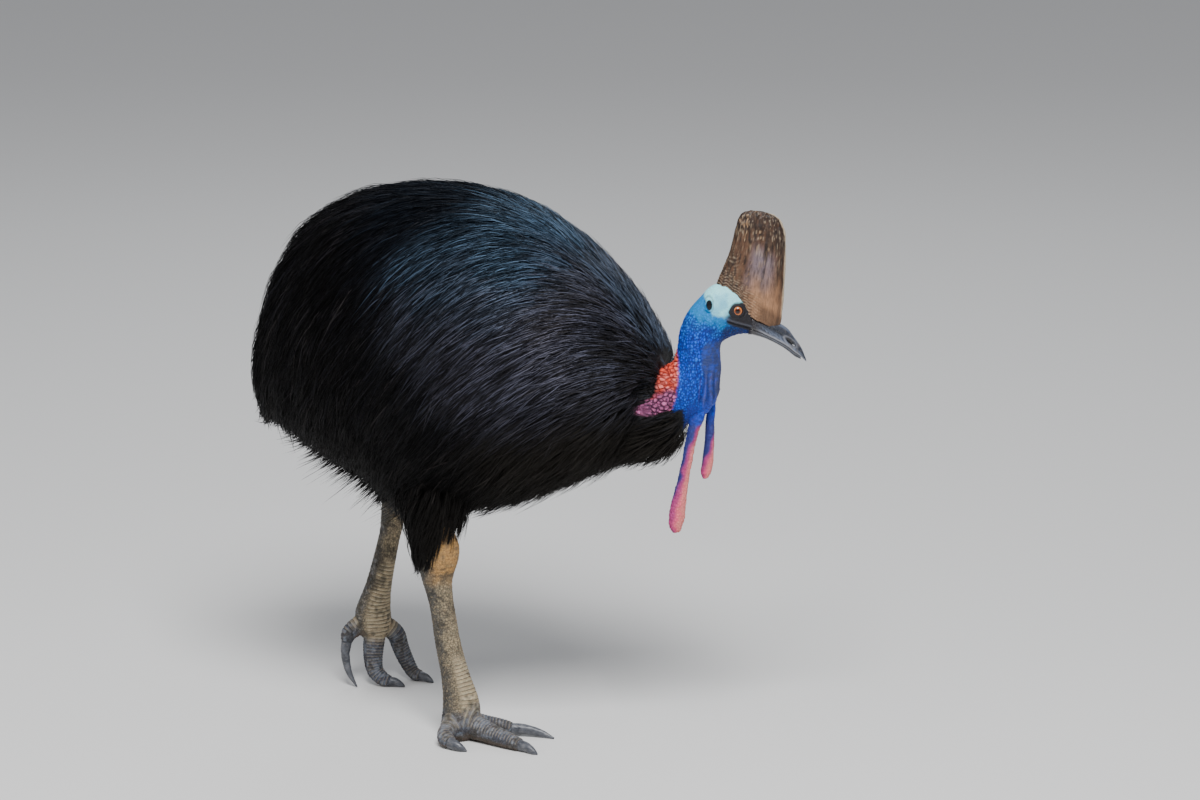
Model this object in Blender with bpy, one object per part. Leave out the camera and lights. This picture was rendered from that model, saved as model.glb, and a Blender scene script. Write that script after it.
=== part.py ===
"""A southern cassowary at life size, standing in mid-step with its neck drawn in and its head level.

The bird faces +X, its left side is at +Y and the floor is z = 0. Lengths are in metres. The plumage is
a loft through its outline, the neck and head are rings between a back line and a throat line, and each
leg is a tapered tube that ends in three toes. The coat is made of flat, tapered locks that root in a
core, follow the lie of the feathers and end at the plumage's outline. Every part is a closed mesh of
its own, and touching parts are cut back so that a hair's breadth stays between them.
"""

import math
import random

import bmesh
import bpy
from mathutils import Matrix, Vector
from mathutils.bvhtree import BVHTree
from mathutils.interpolate import poly_3d_calc

# ---- Driving dimensions -------------------------------------------------------------------------

GAP = 0.0003  # what touching parts keep between them
BASE_SHIFT = Vector((-0.1085, -0.0011, 0.0))  # puts the middle of the bird's box over the origin
HEAD_YAW = math.radians(22)  # the head is turned this far to the bird's left
NECK_TOP = Vector((0.441, 0.0, 0.741))  # origin of the head's own frame, inside the top of the neck

# Plumage outline: x, height of the back, height of the belly, half width, from rump to shoulder.
PLUMAGE = (
    (-0.392, 0.640, 0.548, 0.045),
    (-0.377, 0.716, 0.535, 0.082),
    (-0.341, 0.823, 0.520, 0.122),
    (-0.288, 0.897, 0.497, 0.160),
    (-0.210, 0.946, 0.465, 0.194),
    (-0.119, 0.968, 0.429, 0.217),
    (-0.020, 0.973, 0.405, 0.230),
    (0.080, 0.957, 0.415, 0.226),
    (0.163, 0.922, 0.447, 0.208),
    (0.237, 0.870, 0.479, 0.179),
    (0.297, 0.816, 0.509, 0.144),
    (0.342, 0.763, 0.565, 0.100),
    (0.375, 0.718, 0.632, 0.058),
    (0.387, 0.697, 0.660, 0.025),
)
PLUMAGE_SIDES = 28
COAT_DEPTH = ((-0.40, 0.036), (-0.20, 0.026), (0.10, 0.020), (0.39, 0.008))  # x, core to outline
COAT_RISE = 1.25  # how high the tips stand over the core, as a share of that depth
CORE_SIDES = 20
REAR_FROM, REAR_LENGTH = -0.15, 0.15  # behind this x the core also draws in from the rear
FULLNESS = 0.94  # under 1, the plumage's sections are fuller than an ellipse
RUMP_PARTING = ((-0.150, 0.970), (-0.300, 0.470))  # x and z of a slanting plane, at the back and below

# Locks: how many, the longest, the width and thickness at the widest place, in metres.
BODY_LOCKS = (112, 0.260, 0.080, 0.0080)
MANTLE_LOCKS = (170, 0.130, 0.046, 0.0055)  # of these only the ones ahead of MANTLE_FROM are made
MANTLE_FROM = 0.245
NECK_LOCKS = (36, 0.068, 0.030, 0.0040)
THIGH_LOCKS = (11, 0.110, 0.044, 0.0050)
LOCK_WIDTHS = (0.55, 1.0, 0.92, 0.60, 0.0)  # share of the width at each step, from root to tip
LOCK_LIFTS = (0.0, 0.70, 1.0, 1.05, 1.0)  # how far it has risen from the core to the outline there
LOCK_STEPS = len(LOCK_WIDTHS) - 1
ROOT_DEPTH = 0.009  # how deep a lock's root is sunk in the core
OVERHANG = 0.013  # how far a tip may stand out of the plumage's outline
NECK_BASE = Vector((0.367, 0.0, 0.645))  # the feathers part from here and sweep back over the body
DROOP = 4.0  # how fast the lie turns downward with the distance from the neck's base, per metre
NECK_LIE = Vector((-1.0, 0.0, -0.45))  # the neck's feathers point back to the breast, and down
THIGH_LIE = Vector((-0.22, 0.0, -1.0))  # the thighs' feathers hang down and a little back
THIGH_RISE = 0.014  # how high a thigh's tips stand over its core
SHORTEST, SLIMMEST = 0.3, 0.45  # the least length and width of a lock, as a share of the most
SLACK = 0.5  # where the lie points this much out of the skin, a lock keeps its heading instead
SEED = 8  # of the dice that vary the locks
SWAY = 0.12  # how far a lock may turn off the lie, to either side
SPREAD = (0.85, 1.10)  # the least and most of a lock's length and width, as shares of what is asked
SHORTENING = 0.88  # a lock that reaches out of the outline is made this much shorter, again and again
HANG_FROM, HANG_FULL = 0.30, 0.65  # how far the skin faces down where locks start to hang off it
KEEL = 0.7  # the share of a lock's thickness that lies above its edges' middle
KEEL_AT_TIP = 0.4  # a lock's thickness near its tip, as a share of the most

# Neck: back line and throat line (ahead, up), half width, and how much of the head's turn it has.
NECK = (
    ((-0.221, -0.041), (-0.201, -0.251), 0.085, 0.0),
    ((-0.171, -0.051), (-0.131, -0.241), 0.070, 0.0),
    ((-0.136, -0.061), (-0.068, -0.229), 0.058, 0.1),
    ((-0.106, -0.069), (-0.034, -0.202), 0.050, 0.2),
    ((-0.081, -0.073), (-0.014, -0.164), 0.043, 0.4),
    ((-0.058, -0.073), (0.015, -0.138), 0.038, 0.6),
    ((-0.045, -0.066), (0.033, -0.108), 0.035, 0.8),
    ((-0.040, -0.048), (0.037, -0.068), 0.033, 0.9),
    ((-0.038, -0.020), (0.036, -0.040), 0.032, 1.0),
)
NECK_PARTING = 5  # the ring of NECK at which the bare neck leaves the feathered one
HEAD = (
    ((-0.038, -0.020), (0.0360, -0.0400), 0.0320, 1.0),
    ((-0.035, 0.003), (0.0355, -0.0260), 0.0315, 1.0),
    ((-0.029, 0.022), (0.0380, -0.0150), 0.0315, 1.0),
    ((-0.018, 0.043), (0.0460, -0.0085), 0.0320, 1.0),
    ((0.000, 0.064), (0.0550, -0.0040), 0.0320, 1.0),
    ((0.020, 0.084), (0.0640, -0.0010), 0.0310, 1.0),
    ((0.045, 0.090), (0.0735, 0.0006), 0.0285, 1.0),
    ((0.066, 0.079), (0.0810, 0.0006), 0.0245, 1.0),
    ((0.082, 0.061), (0.0860, -0.0002), 0.0205, 1.0),
    ((0.090, 0.044), (0.0895, -0.0010), 0.0185, 1.0),
)
HEAD_SIDES = 24
EYE_AT = (0.064, 0.0455, 0.0176)  # ahead, up and to the side, in the head's frame
EYE_RADIUS = 0.0122
LID_RADIUS, LID_THICKNESS = 0.0098, 0.0019
SKIN_AT_EYE = 0.0262  # how far the skin is from the middle of the head, at the eye
EAR_AT = (0.0165, 0.0575, 0.0345)
EAR_SIZE = (0.0045, 0.0078, 0.006)  # half length, half height and depth of the ear's cup
# The mouth line: ahead and up, how far the skin is from the middle there, and the groove's opening.
MOUTH_LINE = (
    (0.0480, 0.0265, 0.0300, 0.0006),
    (0.0620, 0.0210, 0.0270, 0.0010),
    (0.0770, 0.0158, 0.0225, 0.0013),
    (0.0925, 0.0108, 0.0185, 0.0016),
)
MOUTH_REACH = 0.040  # how far out the wedge that cuts it reaches
MOUTH_DEPTH = 2.5  # how deep the groove goes, as a multiple of its opening

# Casque: rear edge and front edge (ahead, up) with the half width, from the skull to the crest.
CASQUE = (
    ((0.0220, 0.0700), (0.1320, 0.0080), 0.0190),
    ((0.0287, 0.0880), (0.1400, 0.0192), 0.0198),
    ((0.0325, 0.0991), (0.1428, 0.0450), 0.0195),
    ((0.0415, 0.1200), (0.1443, 0.0749), 0.0180),
    ((0.0519, 0.1490), (0.1460, 0.1090), 0.0162),
    ((0.0572, 0.1720), (0.1474, 0.1480), 0.0143),
    ((0.0610, 0.1893), (0.1464, 0.1690), 0.0120),
    ((0.0650, 0.2035), (0.1425, 0.1870), 0.0095),
    ((0.0730, 0.2120), (0.1350, 0.2010), 0.0068),
    ((0.0850, 0.2165), (0.1190, 0.2110), 0.0035),
)
CASQUE_SIDES = 20
CASQUE_FULLNESS = 0.9

# Bill: ahead, culmen, tomium and half width of the upper half; the same, turned over, of the lower.
BILL_UPPER = (
    (0.0903, 0.0430, 0.0112, 0.0185),
    (0.1130, 0.0310, 0.0005, 0.0165),
    (0.1370, 0.0185, -0.0125, 0.0135),
    (0.1520, 0.0085, -0.0220, 0.0108),
    (0.1640, -0.0078, -0.0320, 0.0084),
    (0.1755, -0.0245, -0.0402, 0.0058),
    (0.1840, -0.0450, -0.0488, 0.0018),
)
BILL_LOWER = (
    (0.0903, -0.0010, 0.0108, 0.0175),
    (0.1130, -0.0078, 0.0001, 0.0150),
    (0.1370, -0.0200, -0.0129, 0.0118),
    (0.1520, -0.0300, -0.0224, 0.0088),
    (0.1640, -0.0398, -0.0325, 0.0062),
    (0.1745, -0.0450, -0.0403, 0.0026),
)
BILL_ARC = 8  # points over the ridge of a bill's section
BILL_FULLNESS = 0.8  # under 1, that arch is fuller than an ellipse
NOSTRIL_AT = (0.1560, -0.0125, 0.0092)
NOSTRIL_SIZE = (0.0065, 0.0020, 0.0030)

# Wattles: (ahead, up) of the middle, half width seen from the side, half thickness.
WATTLE_RIGHT = (
    ((0.010, -0.096), 0.0150, 0.0080),
    ((-0.001, -0.135), 0.0140, 0.0080),
    ((-0.010, -0.166), 0.0105, 0.0075),
    ((-0.017, -0.198), 0.0080, 0.0070),
    ((-0.023, -0.232), 0.0090, 0.0075),
    ((-0.030, -0.268), 0.0112, 0.0085),
    ((-0.036, -0.303), 0.0138, 0.0100),
    ((-0.039, -0.332), 0.0136, 0.0100),
    ((-0.040, -0.351), 0.0070, 0.0060),
)
WATTLE_LEFT = (
    ((0.026, -0.100), 0.0100, 0.0070),
    ((0.022, -0.124), 0.0080, 0.0070),
    ((0.019, -0.160), 0.0080, 0.0070),
    ((0.018, -0.196), 0.0085, 0.0072),
    ((0.016, -0.226), 0.0098, 0.0080),
    ((0.013, -0.247), 0.0096, 0.0078),
    ((0.011, -0.261), 0.0050, 0.0045),
)
WATTLE_SPREAD = 0.014  # how far each wattle hangs from the middle of the throat
WATTLE_SIDES = 12

COLLAR_DEPTH = 0.007  # from the lower neck's core to the tips of its feathers
NECK_LOCKS_FROM = 0.235  # the neck's locks start ahead of this x, out of the torso
COLLAR_TOP = 0.606  # the neck's feathers start below this height and leave the nape bare

# Legs: x, y, z of the middle, depth along the foot's heading, width across it.
RIGHT_HEADING = math.radians(-8)
LEFT_HEADING = math.radians(-32)
RIGHT_THIGH = (
    (-0.018, -0.112, 0.480, 0.172, 0.135),
    (-0.015, -0.115, 0.430, 0.142, 0.118),
    (-0.012, -0.117, 0.385, 0.112, 0.100),
    (-0.010, -0.119, 0.350, 0.094, 0.086),
    (-0.008, -0.120, 0.312, 0.084, 0.076),
)
RIGHT_SHANK = (
    (-0.006, -0.120, 0.352, 0.070, 0.060),
    (-0.006, -0.120, 0.325, 0.070, 0.062),
    (-0.0065, -0.120, 0.290, 0.058, 0.052),
    (-0.0025, -0.120, 0.262, 0.049, 0.042),
    (0.004, -0.120, 0.230, 0.046, 0.038),
    (0.014, -0.121, 0.172, 0.048, 0.040),
    (0.0275, -0.122, 0.118, 0.053, 0.045),
    (0.038, -0.123, 0.076, 0.064, 0.056),
    (0.040, -0.124, 0.045, 0.068, 0.066),
    (0.036, -0.125, 0.015, 0.066, 0.068),
    (0.035, -0.125, 0.000, 0.052, 0.054),
)
LEFT_THIGH = (
    (-0.146, 0.112, 0.525, 0.172, 0.135),
    (-0.158, 0.115, 0.475, 0.142, 0.118),
    (-0.172, 0.117, 0.432, 0.112, 0.100),
    (-0.184, 0.119, 0.400, 0.094, 0.086),
    (-0.194, 0.120, 0.366, 0.082, 0.074),
)
THIGH_CORE = 0.66  # the thigh's core as a share of its plumage
THIGH_CORE_END = 3  # the ring of a thigh at which its core ends, on the shank
LEFT_SHANK = (
    (-0.183, 0.120, 0.402, 0.068, 0.058),
    (-0.190, 0.120, 0.375, 0.066, 0.056),
    (-0.199, 0.120, 0.340, 0.056, 0.046),
    (-0.2085, 0.120, 0.293, 0.046, 0.037),
    (-0.2225, 0.120, 0.236, 0.046, 0.041),
    (-0.2335, 0.120, 0.192, 0.048, 0.048),
    (-0.2410, 0.120, 0.164, 0.054, 0.058),
    (-0.2460, 0.120, 0.138, 0.058, 0.068),
    (-0.2450, 0.120, 0.108, 0.056, 0.070),
    (-0.2420, 0.119, 0.092, 0.040, 0.052),
)
LEG_SIDES = 16

# Toes: x, y, z of the middle, height, width; each claw goes on from its toe's end to its own tip.
TOES = {
    "toe_middle_right": (
        (0.045, -0.123, 0.028, 0.052, 0.046),
        (0.080, -0.131, 0.022, 0.042, 0.038),
        (0.115, -0.141, 0.017, 0.034, 0.032),
        (0.145, -0.150, 0.014, 0.028, 0.027),
        (0.167, -0.156, 0.011, 0.022, 0.022),
    ),
    "toe_inner_right": (
        (0.045, -0.112, 0.026, 0.044, 0.038),
        (0.073, -0.098, 0.020, 0.036, 0.032),
        (0.100, -0.087, 0.016, 0.030, 0.028),
        (0.118, -0.081, 0.013, 0.024, 0.022),
    ),
    "toe_outer_right": (
        (0.036, -0.135, 0.026, 0.044, 0.038),
        (0.030, -0.158, 0.020, 0.038, 0.033),
        (0.034, -0.180, 0.016, 0.032, 0.029),
        (0.048, -0.192, 0.012, 0.024, 0.023),
    ),
    "toe_middle_left": (
        (-0.2405, 0.117, 0.108, 0.040, 0.044),
        (-0.2420, 0.113, 0.080, 0.038, 0.040),
        (-0.2420, 0.109, 0.052, 0.034, 0.035),
        (-0.2370, 0.107, 0.028, 0.031, 0.031),
        (-0.2220, 0.107, 0.014, 0.026, 0.027),
        (-0.2080, 0.109, 0.010, 0.020, 0.022),
    ),
    "toe_inner_left": (
        (-0.2530, 0.104, 0.122, 0.036, 0.034),
        (-0.2680, 0.094, 0.112, 0.034, 0.032),
        (-0.2790, 0.086, 0.100, 0.030, 0.028),
        (-0.2830, 0.083, 0.086, 0.022, 0.022),
    ),
    "toe_outer_left": (
        (-0.2350, 0.136, 0.112, 0.036, 0.034),
        (-0.2150, 0.150, 0.090, 0.034, 0.032),
        (-0.2080, 0.157, 0.062, 0.031, 0.029),
        (-0.1980, 0.161, 0.036, 0.028, 0.027),
        (-0.1840, 0.162, 0.014, 0.024, 0.024),
        (-0.1700, 0.161, 0.010, 0.020, 0.021),
    ),
}
CLAWS = {
    "claw_middle_right": ((0.181, -0.160, 0.010), (0.195, -0.164, 0.005), (0.204, -0.166, 0.0015)),
    "claw_inner_right": ((0.142, -0.075, 0.013), (0.172, -0.071, 0.008), (0.196, -0.071, 0.0015)),
    "claw_outer_right": ((0.060, -0.196, 0.010), (0.072, -0.197, 0.006), (0.082, -0.196, 0.0015)),
    "claw_middle_left": ((-0.198, 0.111, 0.009), (-0.188, 0.113, 0.005), (-0.180, 0.114, 0.0015)),
    "claw_inner_left": ((-0.285, 0.081, 0.060), (-0.278, 0.080, 0.028), (-0.262, 0.080, 0.0015)),
    "claw_outer_left": ((-0.160, 0.160, 0.009), (-0.150, 0.159, 0.005), (-0.142, 0.158, 0.0015)),
}
CLAW_SIZES = (0.92, 0.78, 0.55, 0.16)  # a claw's size along its length, as a share of the toe's end
CLAW_SLIMNESS = 0.9  # a claw's width, as a share of the same
TOE_SIDES = 12

# ---- Materials ----------------------------------------------------------------------------------

COLOURS = {
    "feather": ((0.010, 0.010, 0.012), 0.45),
    "neck_skin": ((0.015, 0.060, 0.480), 0.50),
    "head_skin": ((0.200, 0.560, 0.620), 0.50),
    "wattle_skin": ((0.560, 0.090, 0.160), 0.45),
    "horn": ((0.160, 0.105, 0.075), 0.55),
    "bill_horn": ((0.025, 0.026, 0.030), 0.35),
    "eye": ((0.300, 0.110, 0.030), 0.08),
    "leg_scale": ((0.200, 0.165, 0.125), 0.60),
    "claw_horn": ((0.045, 0.048, 0.058), 0.40),
}


def material(name):
    """The Principled material of that name, made the first time it is asked for."""
    found = bpy.data.materials.get(name)
    if found:
        return found
    colour, roughness = COLOURS[name]
    made = bpy.data.materials.new(name)
    made.use_nodes = True
    shader = made.node_tree.nodes["Principled BSDF"]
    shader.inputs["Base Color"].default_value = (*colour, 1.0)
    shader.inputs["Roughness"].default_value = roughness
    shader.inputs["Metallic"].default_value = 0.0
    made.diffuse_color = (*colour, 1.0)
    return made


# ---- Meshes, lofts and cuts ---------------------------------------------------------------------


def clear_scene():
    """Remove whatever the scene holds."""
    for obj in list(bpy.data.objects):
        bpy.data.objects.remove(obj, do_unlink=True)


def solid(name, bm, finish):
    """An object in the bird's collection from a closed bmesh, in triangles with its faces outward."""
    bmesh.ops.triangulate(bm, faces=bm.faces)
    bmesh.ops.recalc_face_normals(bm, faces=bm.faces)
    mesh = bpy.data.meshes.new(name)
    bm.to_mesh(mesh)
    bm.free()
    mesh.shade_smooth()
    mesh.materials.append(material(finish))
    obj = bpy.data.objects.new(name, mesh)
    bird.objects.link(obj)
    return obj


def loft(rings):
    """A closed bmesh through rings of equally many points, its two ends capped from their middles."""
    bm = bmesh.new()
    rows = [[bm.verts.new(point) for point in ring] for ring in rings]
    sides = len(rows[0])
    for low, high in zip(rows, rows[1:]):
        for i in range(sides):
            j = (i + 1) % sides
            bm.faces.new((low[i], low[j], high[j], high[i]))
    for row in (rows[0], rows[-1]):
        middle = bm.verts.new(sum((vert.co for vert in row), Vector()) / sides)
        for i in range(sides):
            bm.faces.new((row[i], row[(i + 1) % sides], middle))
    return bm


def ellipse(middle, across, upward, sides, fullness=1.0):
    """Points round an ellipse with those two half axes; a fullness under 1 squares its corners."""
    points = []
    for i in range(sides):
        angle = math.tau * i / sides
        c, s = math.cos(angle), math.sin(angle)
        points.append(middle + across * math.copysign(abs(c) ** fullness, c)
                      + upward * math.copysign(abs(s) ** fullness, s))
    return points


def grown(source, distance):
    """A hidden copy of a solid whose skin stands a distance further out, to cut its neighbours with."""
    mesh = source.data.copy()
    offsets = [vertex.normal.copy() for vertex in mesh.vertices]
    for vertex, normal in zip(mesh.vertices, offsets):
        vertex.co += normal * distance
    obj = bpy.data.objects.new(source.name + "_clearance", mesh)
    cutters.objects.link(obj)
    obj.hide_render = True
    obj.display_type = "WIRE"
    return obj


def combine(obj, operation, others):
    """Join, cut or intersect an object with closed meshes, and keep its largest closed surface."""
    operands = bpy.data.collections.new(obj.name + "_operands")
    bpy.context.scene.collection.children.link(operands)
    for other in others:
        operands.objects.link(other)
    step = obj.modifiers.new(operation.lower(), "BOOLEAN")
    step.operation = operation
    step.operand_type = "COLLECTION"
    step.collection = operands
    step.solver = "MANIFOLD"
    evaluated = obj.evaluated_get(bpy.context.evaluated_depsgraph_get())
    mesh = bpy.data.meshes.new_from_object(evaluated)
    obj.modifiers.remove(step)
    for other in others:
        bpy.data.objects.remove(other, do_unlink=True)
    bpy.data.collections.remove(operands)
    obj.data = mesh
    keep_largest_surface(obj)


def keep_largest_surface(obj):
    """Drop every closed surface of a mesh but the one with the most faces."""
    bm = bmesh.new()
    bm.from_mesh(obj.data)
    left = set(bm.faces)
    surfaces = []
    while left:
        surface = {left.pop()}
        rim = list(surface)
        while rim:
            sound = [edge for edge in rim.pop().edges if len(edge.link_faces) == 2]
            near = {face for edge in sound for face in edge.link_faces} & left
            left -= near
            surface |= near
            rim.extend(near)
        surfaces.append(surface)
    surfaces.sort(key=len)
    loose = [face for surface in surfaces[:-1] for face in surface]
    bmesh.ops.delete(bm, geom=loose, context="FACES")
    bm.to_mesh(obj.data)
    bm.free()


# ---- Plumage ------------------------------------------------------------------------------------


def between(stations, x):
    """What a table holds at any x, in a straight line between its stations."""
    for behind, ahead in zip(stations, stations[1:]):
        if x <= ahead[0]:
            share = max((x - behind[0]) / (ahead[0] - behind[0]), 0.0)
            return [b + (a - b) * share for b, a in zip(behind[1:], ahead[1:])]
    return list(stations[-1][1:])


def plumage_ring(x, top, bottom, half_width, depth, sides):
    """One upright section of the plumage, or of the core that lies a depth inside it."""
    rearward = max(min((REAR_FROM - x) / REAR_LENGTH, 1.0), 0.0)
    middle = Vector((x + depth * rearward, 0.0, (top + bottom) / 2)) + BASE_SHIFT
    half_height = Vector((0.0, 0.0, (top - bottom) / 2 - depth))
    return ellipse(middle, Vector((0.0, half_width - depth, 0.0)), half_height, sides, FULLNESS)


def plumage_loft(inset, sides):
    """The whole of the plumage's outline, or its core where the inset is 1."""
    rings = []
    for x, top, bottom, half_width in PLUMAGE:
        depth = between(COAT_DEPTH, x)[0] * inset
        rings.append(plumage_ring(x, top, bottom, half_width, depth, sides))
    return loft(rings)


def body_lie(point):
    """Which way the body's feathers point: away from the neck's base, and down more and more."""
    away = point - (NECK_BASE + BASE_SHIFT)
    return away.normalized() + Vector((0.0, 0.0, -DROOP * away.length))


class Skin:
    """A solid's surface, asked for its nearest point and for the smooth outward direction there."""

    def __init__(self, mesh):
        self.corners = [vertex.co.copy() for vertex in mesh.vertices]
        self.normals = [vertex.normal.copy() for vertex in mesh.vertices]
        self.faces = [tuple(face.vertices) for face in mesh.polygons]
        self.tree = BVHTree.FromPolygons(self.corners, self.faces)

    def nearest(self, point):
        """The surface's nearest point, and its normal blended between the corners of the face."""
        near, _, index, _ = self.tree.find_nearest(point)
        face = self.faces[index]
        shares = poly_3d_calc([self.corners[i] for i in face], near)
        return near, sum((self.normals[i] * share for i, share in zip(face, shares)), Vector()).normalized()


def comb(skin, lie, root, length, rise, dice):
    """A lock's middle points with their outward directions: rooted deep, along the lie, free to hang."""
    point, normal = skin.nearest(root)
    path = [(point - normal * ROOT_DEPTH, normal)]
    sway = dice.uniform(-SWAY, SWAY)
    heading = Vector()
    for step in range(1, LOCK_STEPS + 1):
        wanted = lie(point).normalized()
        wanted -= normal * wanted.dot(normal)
        firmness = min(wanted.length / SLACK, 1.0)
        wanted = wanted.normalized()
        wanted = (wanted + normal.cross(wanted) * sway) * firmness
        heading = (heading + wanted).normalized()
        point = point + heading * length / LOCK_STEPS
        near, normal = skin.nearest(point)
        height = (point - near).dot(normal)
        lift = rise * LOCK_LIFTS[step]
        hang = max(min((-normal.z - HANG_FROM) / (HANG_FULL - HANG_FROM), 1.0), 0.0)
        point = near + normal * max(lift + (height - lift) * hang, lift)
        path.append((point, normal))
    return path


def lock(path, width, thickness):
    """A flat, tapered lock along a path: three edges, keeled outward, that meet in its tip."""
    rings = []
    for i, (point, normal) in enumerate(path[:-1]):
        along = (path[i + 1][0] - path[max(i - 1, 0)][0]).normalized()
        across = along.cross(normal).normalized() * width / 2 * LOCK_WIDTHS[i]
        outward = across.cross(along).normalized()
        keel = outward * thickness * (KEEL_AT_TIP + (1.0 - KEEL_AT_TIP) * LOCK_WIDTHS[i])
        edge = point - keel * (1.0 - KEEL)
        rings.append([edge + across, point + keel * KEEL, edge - across])
    bm = bmesh.new()
    rows = [[bm.verts.new(corner) for corner in ring] for ring in rings]
    for low, high in zip(rows, rows[1:]):
        for i in range(3):
            j = (i + 1) % 3
            bm.faces.new((low[i], low[j], high[j]))
            bm.faces.new((low[i], high[j], high[i]))
    bm.faces.new(rows[0])
    tip = bm.verts.new(path[-1][0])
    for i in range(3):
        bm.faces.new((rows[-1][i], rows[-1][(i + 1) % 3], tip))
    return bm


def roots_over(rings, count):
    """Points spread evenly over a loft, along a spiral that winds round it from end to end."""
    girths = [sum((a - b).length for a, b in zip(ring, ring[1:] + ring[:1])) for ring in rings]
    areas = [0.0]
    for i in range(len(rings) - 1):
        slant = sum((a - b).length for a, b in zip(rings[i], rings[i + 1])) / len(rings[i])
        areas.append(areas[-1] + slant * (girths[i] + girths[i + 1]) / 2)
    golden = math.pi * (3.0 - math.sqrt(5.0))
    for k in range(count):
        area = areas[-1] * (k + 0.5) / count
        i = max(j for j in range(len(areas) - 1) if areas[j] <= area)
        share = (area - areas[i]) / (areas[i + 1] - areas[i])
        place = (k * golden / math.tau % 1.0) * len(rings[i])
        j, part = int(place), place % 1.0
        low = rings[i][j].lerp(rings[i][(j + 1) % len(rings[i])], part)
        high = rings[i + 1][j].lerp(rings[i + 1][(j + 1) % len(rings[i])], part)
        yield low.lerp(high, share)


def height_over(limit, point):
    """How far a point stands outside a closed surface, or nothing where it lies within."""
    near, normal = limit.find_nearest(point)[:2]
    return (point - near).length if (point - near).dot(normal) > 0 else 0.0


def lay_locks(name, core, outline, rings, lie, sizes, rise, wanted=lambda point: True):
    """The locks of a coat over a core, each as long as its place inside the outline allows."""
    count, longest, width, thickness = sizes
    dice = random.Random(f"{name} {SEED}")
    skin = Skin(core.data)
    bmesh.ops.recalc_face_normals(outline, faces=outline.faces)
    limit = BVHTree.FromBMesh(outline)
    outline.free()
    locks = []
    for root in roots_over(rings, count):
        if not wanted(root):
            continue
        length = longest * dice.uniform(*SPREAD)
        seed = dice.random()
        while length > longest * SHORTEST:
            path = comb(skin, lie, root, length, rise(root), random.Random(seed))
            if all(height_over(limit, point) < OVERHANG for point, _ in path):
                slimness = max(length / longest, SLIMMEST)
                piece = lock(path, width * slimness * dice.uniform(*SPREAD), thickness)
                locks.append(solid(f"{name}_lock", piece, "feather"))
                break
            length *= SHORTENING
    return locks


def half_space(name, side):
    """A block that reaches from the slanting parting plane over all that lies on one side of it."""
    (back_x, back_z), (low_x, low_z) = RUMP_PARTING
    down = Vector((low_x - back_x, 0.0, low_z - back_z)).normalized()
    ahead = Vector((-down.z, 0.0, down.x)) * side
    middle = Vector(((back_x + low_x) / 2, 0.0, (back_z + low_z) / 2)) + BASE_SHIFT
    bm = bmesh.new()
    bmesh.ops.create_cube(bm, size=2.0)
    turn = Matrix((ahead, Vector((0.0, 1.0, 0.0)), ahead.cross(Vector((0.0, 1.0, 0.0))))).transposed()
    bmesh.ops.rotate(bm, verts=bm.verts, matrix=turn)
    bmesh.ops.translate(bm, verts=bm.verts, vec=middle + ahead * (1.0 - GAP / 2))
    return solid(name, bm, "feather")


def make_body():
    """The torso and the rump: one core under one coat, which gives way to the neck and the thighs."""
    torso = solid("torso", plumage_loft(1.0, CORE_SIDES), "feather")
    rings = [plumage_ring(*station, between(COAT_DEPTH, station[0])[0], CORE_SIDES)
             for station in PLUMAGE]
    locks = []
    for name, sizes, ahead in (("body", BODY_LOCKS, False), ("mantle", MANTLE_LOCKS, True)):
        locks += lay_locks(name, torso, plumage_loft(0.0, PLUMAGE_SIDES), rings, body_lie, sizes,
                           lambda root: between(COAT_DEPTH, root.x - BASE_SHIFT.x)[0] * COAT_RISE,
                           lambda root: (root.x - BASE_SHIFT.x > MANTLE_FROM) == ahead)
    combine(torso, "UNION", locks)
    neighbours = [solid("neck_room", loft(neck_envelope()), "feather"),
                  solid("thigh_room_right", loft(leg_rings(RIGHT_THIGH, RIGHT_HEADING)), "feather"),
                  solid("thigh_room_left", loft(leg_rings(LEFT_THIGH, LEFT_HEADING)), "feather")]
    rooms = [grown(neighbour, GAP) for neighbour in neighbours]
    rooms.append(grown(bpy.data.objects["neck_upper"], GAP))
    for neighbour in neighbours:
        bpy.data.objects.remove(neighbour, do_unlink=True)
    combine(torso, "DIFFERENCE", rooms)
    rump = bpy.data.objects.new("rump", torso.data.copy())
    bird.objects.link(rump)
    combine(torso, "DIFFERENCE", [half_space("behind", -1)])
    combine(rump, "DIFFERENCE", [half_space("ahead", 1)])


# ---- Neck and head ------------------------------------------------------------------------------


def head_point(ahead, up, side=0.0):
    """A point of the head's own frame."""
    forward = Vector((math.cos(HEAD_YAW), math.sin(HEAD_YAW), 0.0))
    leftward = Vector((-math.sin(HEAD_YAW), math.cos(HEAD_YAW), 0.0))
    return NECK_TOP + BASE_SHIFT + forward * ahead + leftward * side + Vector((0.0, 0.0, up))


def neck_ring(back, throat, half_width, turn, slide=0.0):
    """A section of the neck or head between its back and throat points, turned part of the way."""
    ahead = (back[0] + throat[0]) / 2
    y = ahead * math.sin(HEAD_YAW) * turn
    x = (ahead - y * math.sin(HEAD_YAW)) / math.cos(HEAD_YAW)
    middle = NECK_TOP + BASE_SHIFT + Vector((x, y, (back[1] + throat[1]) / 2))
    yaw = HEAD_YAW * turn
    stretch = 1.0 / math.cos(HEAD_YAW - yaw)
    reach = (back[0] - throat[0]) / 2 * stretch
    upward = Vector((reach * math.cos(yaw), reach * math.sin(yaw), (back[1] - throat[1]) / 2))
    across = Vector((-math.sin(yaw), math.cos(yaw), 0.0)) * half_width
    along = across.cross(upward).normalized() * slide
    return ellipse(middle + along, across, upward, HEAD_SIDES)


def neck_envelope():
    """The outline of the lower neck with its feathers."""
    return [neck_ring(*station) for station in NECK[: NECK_PARTING + 1]]


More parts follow.
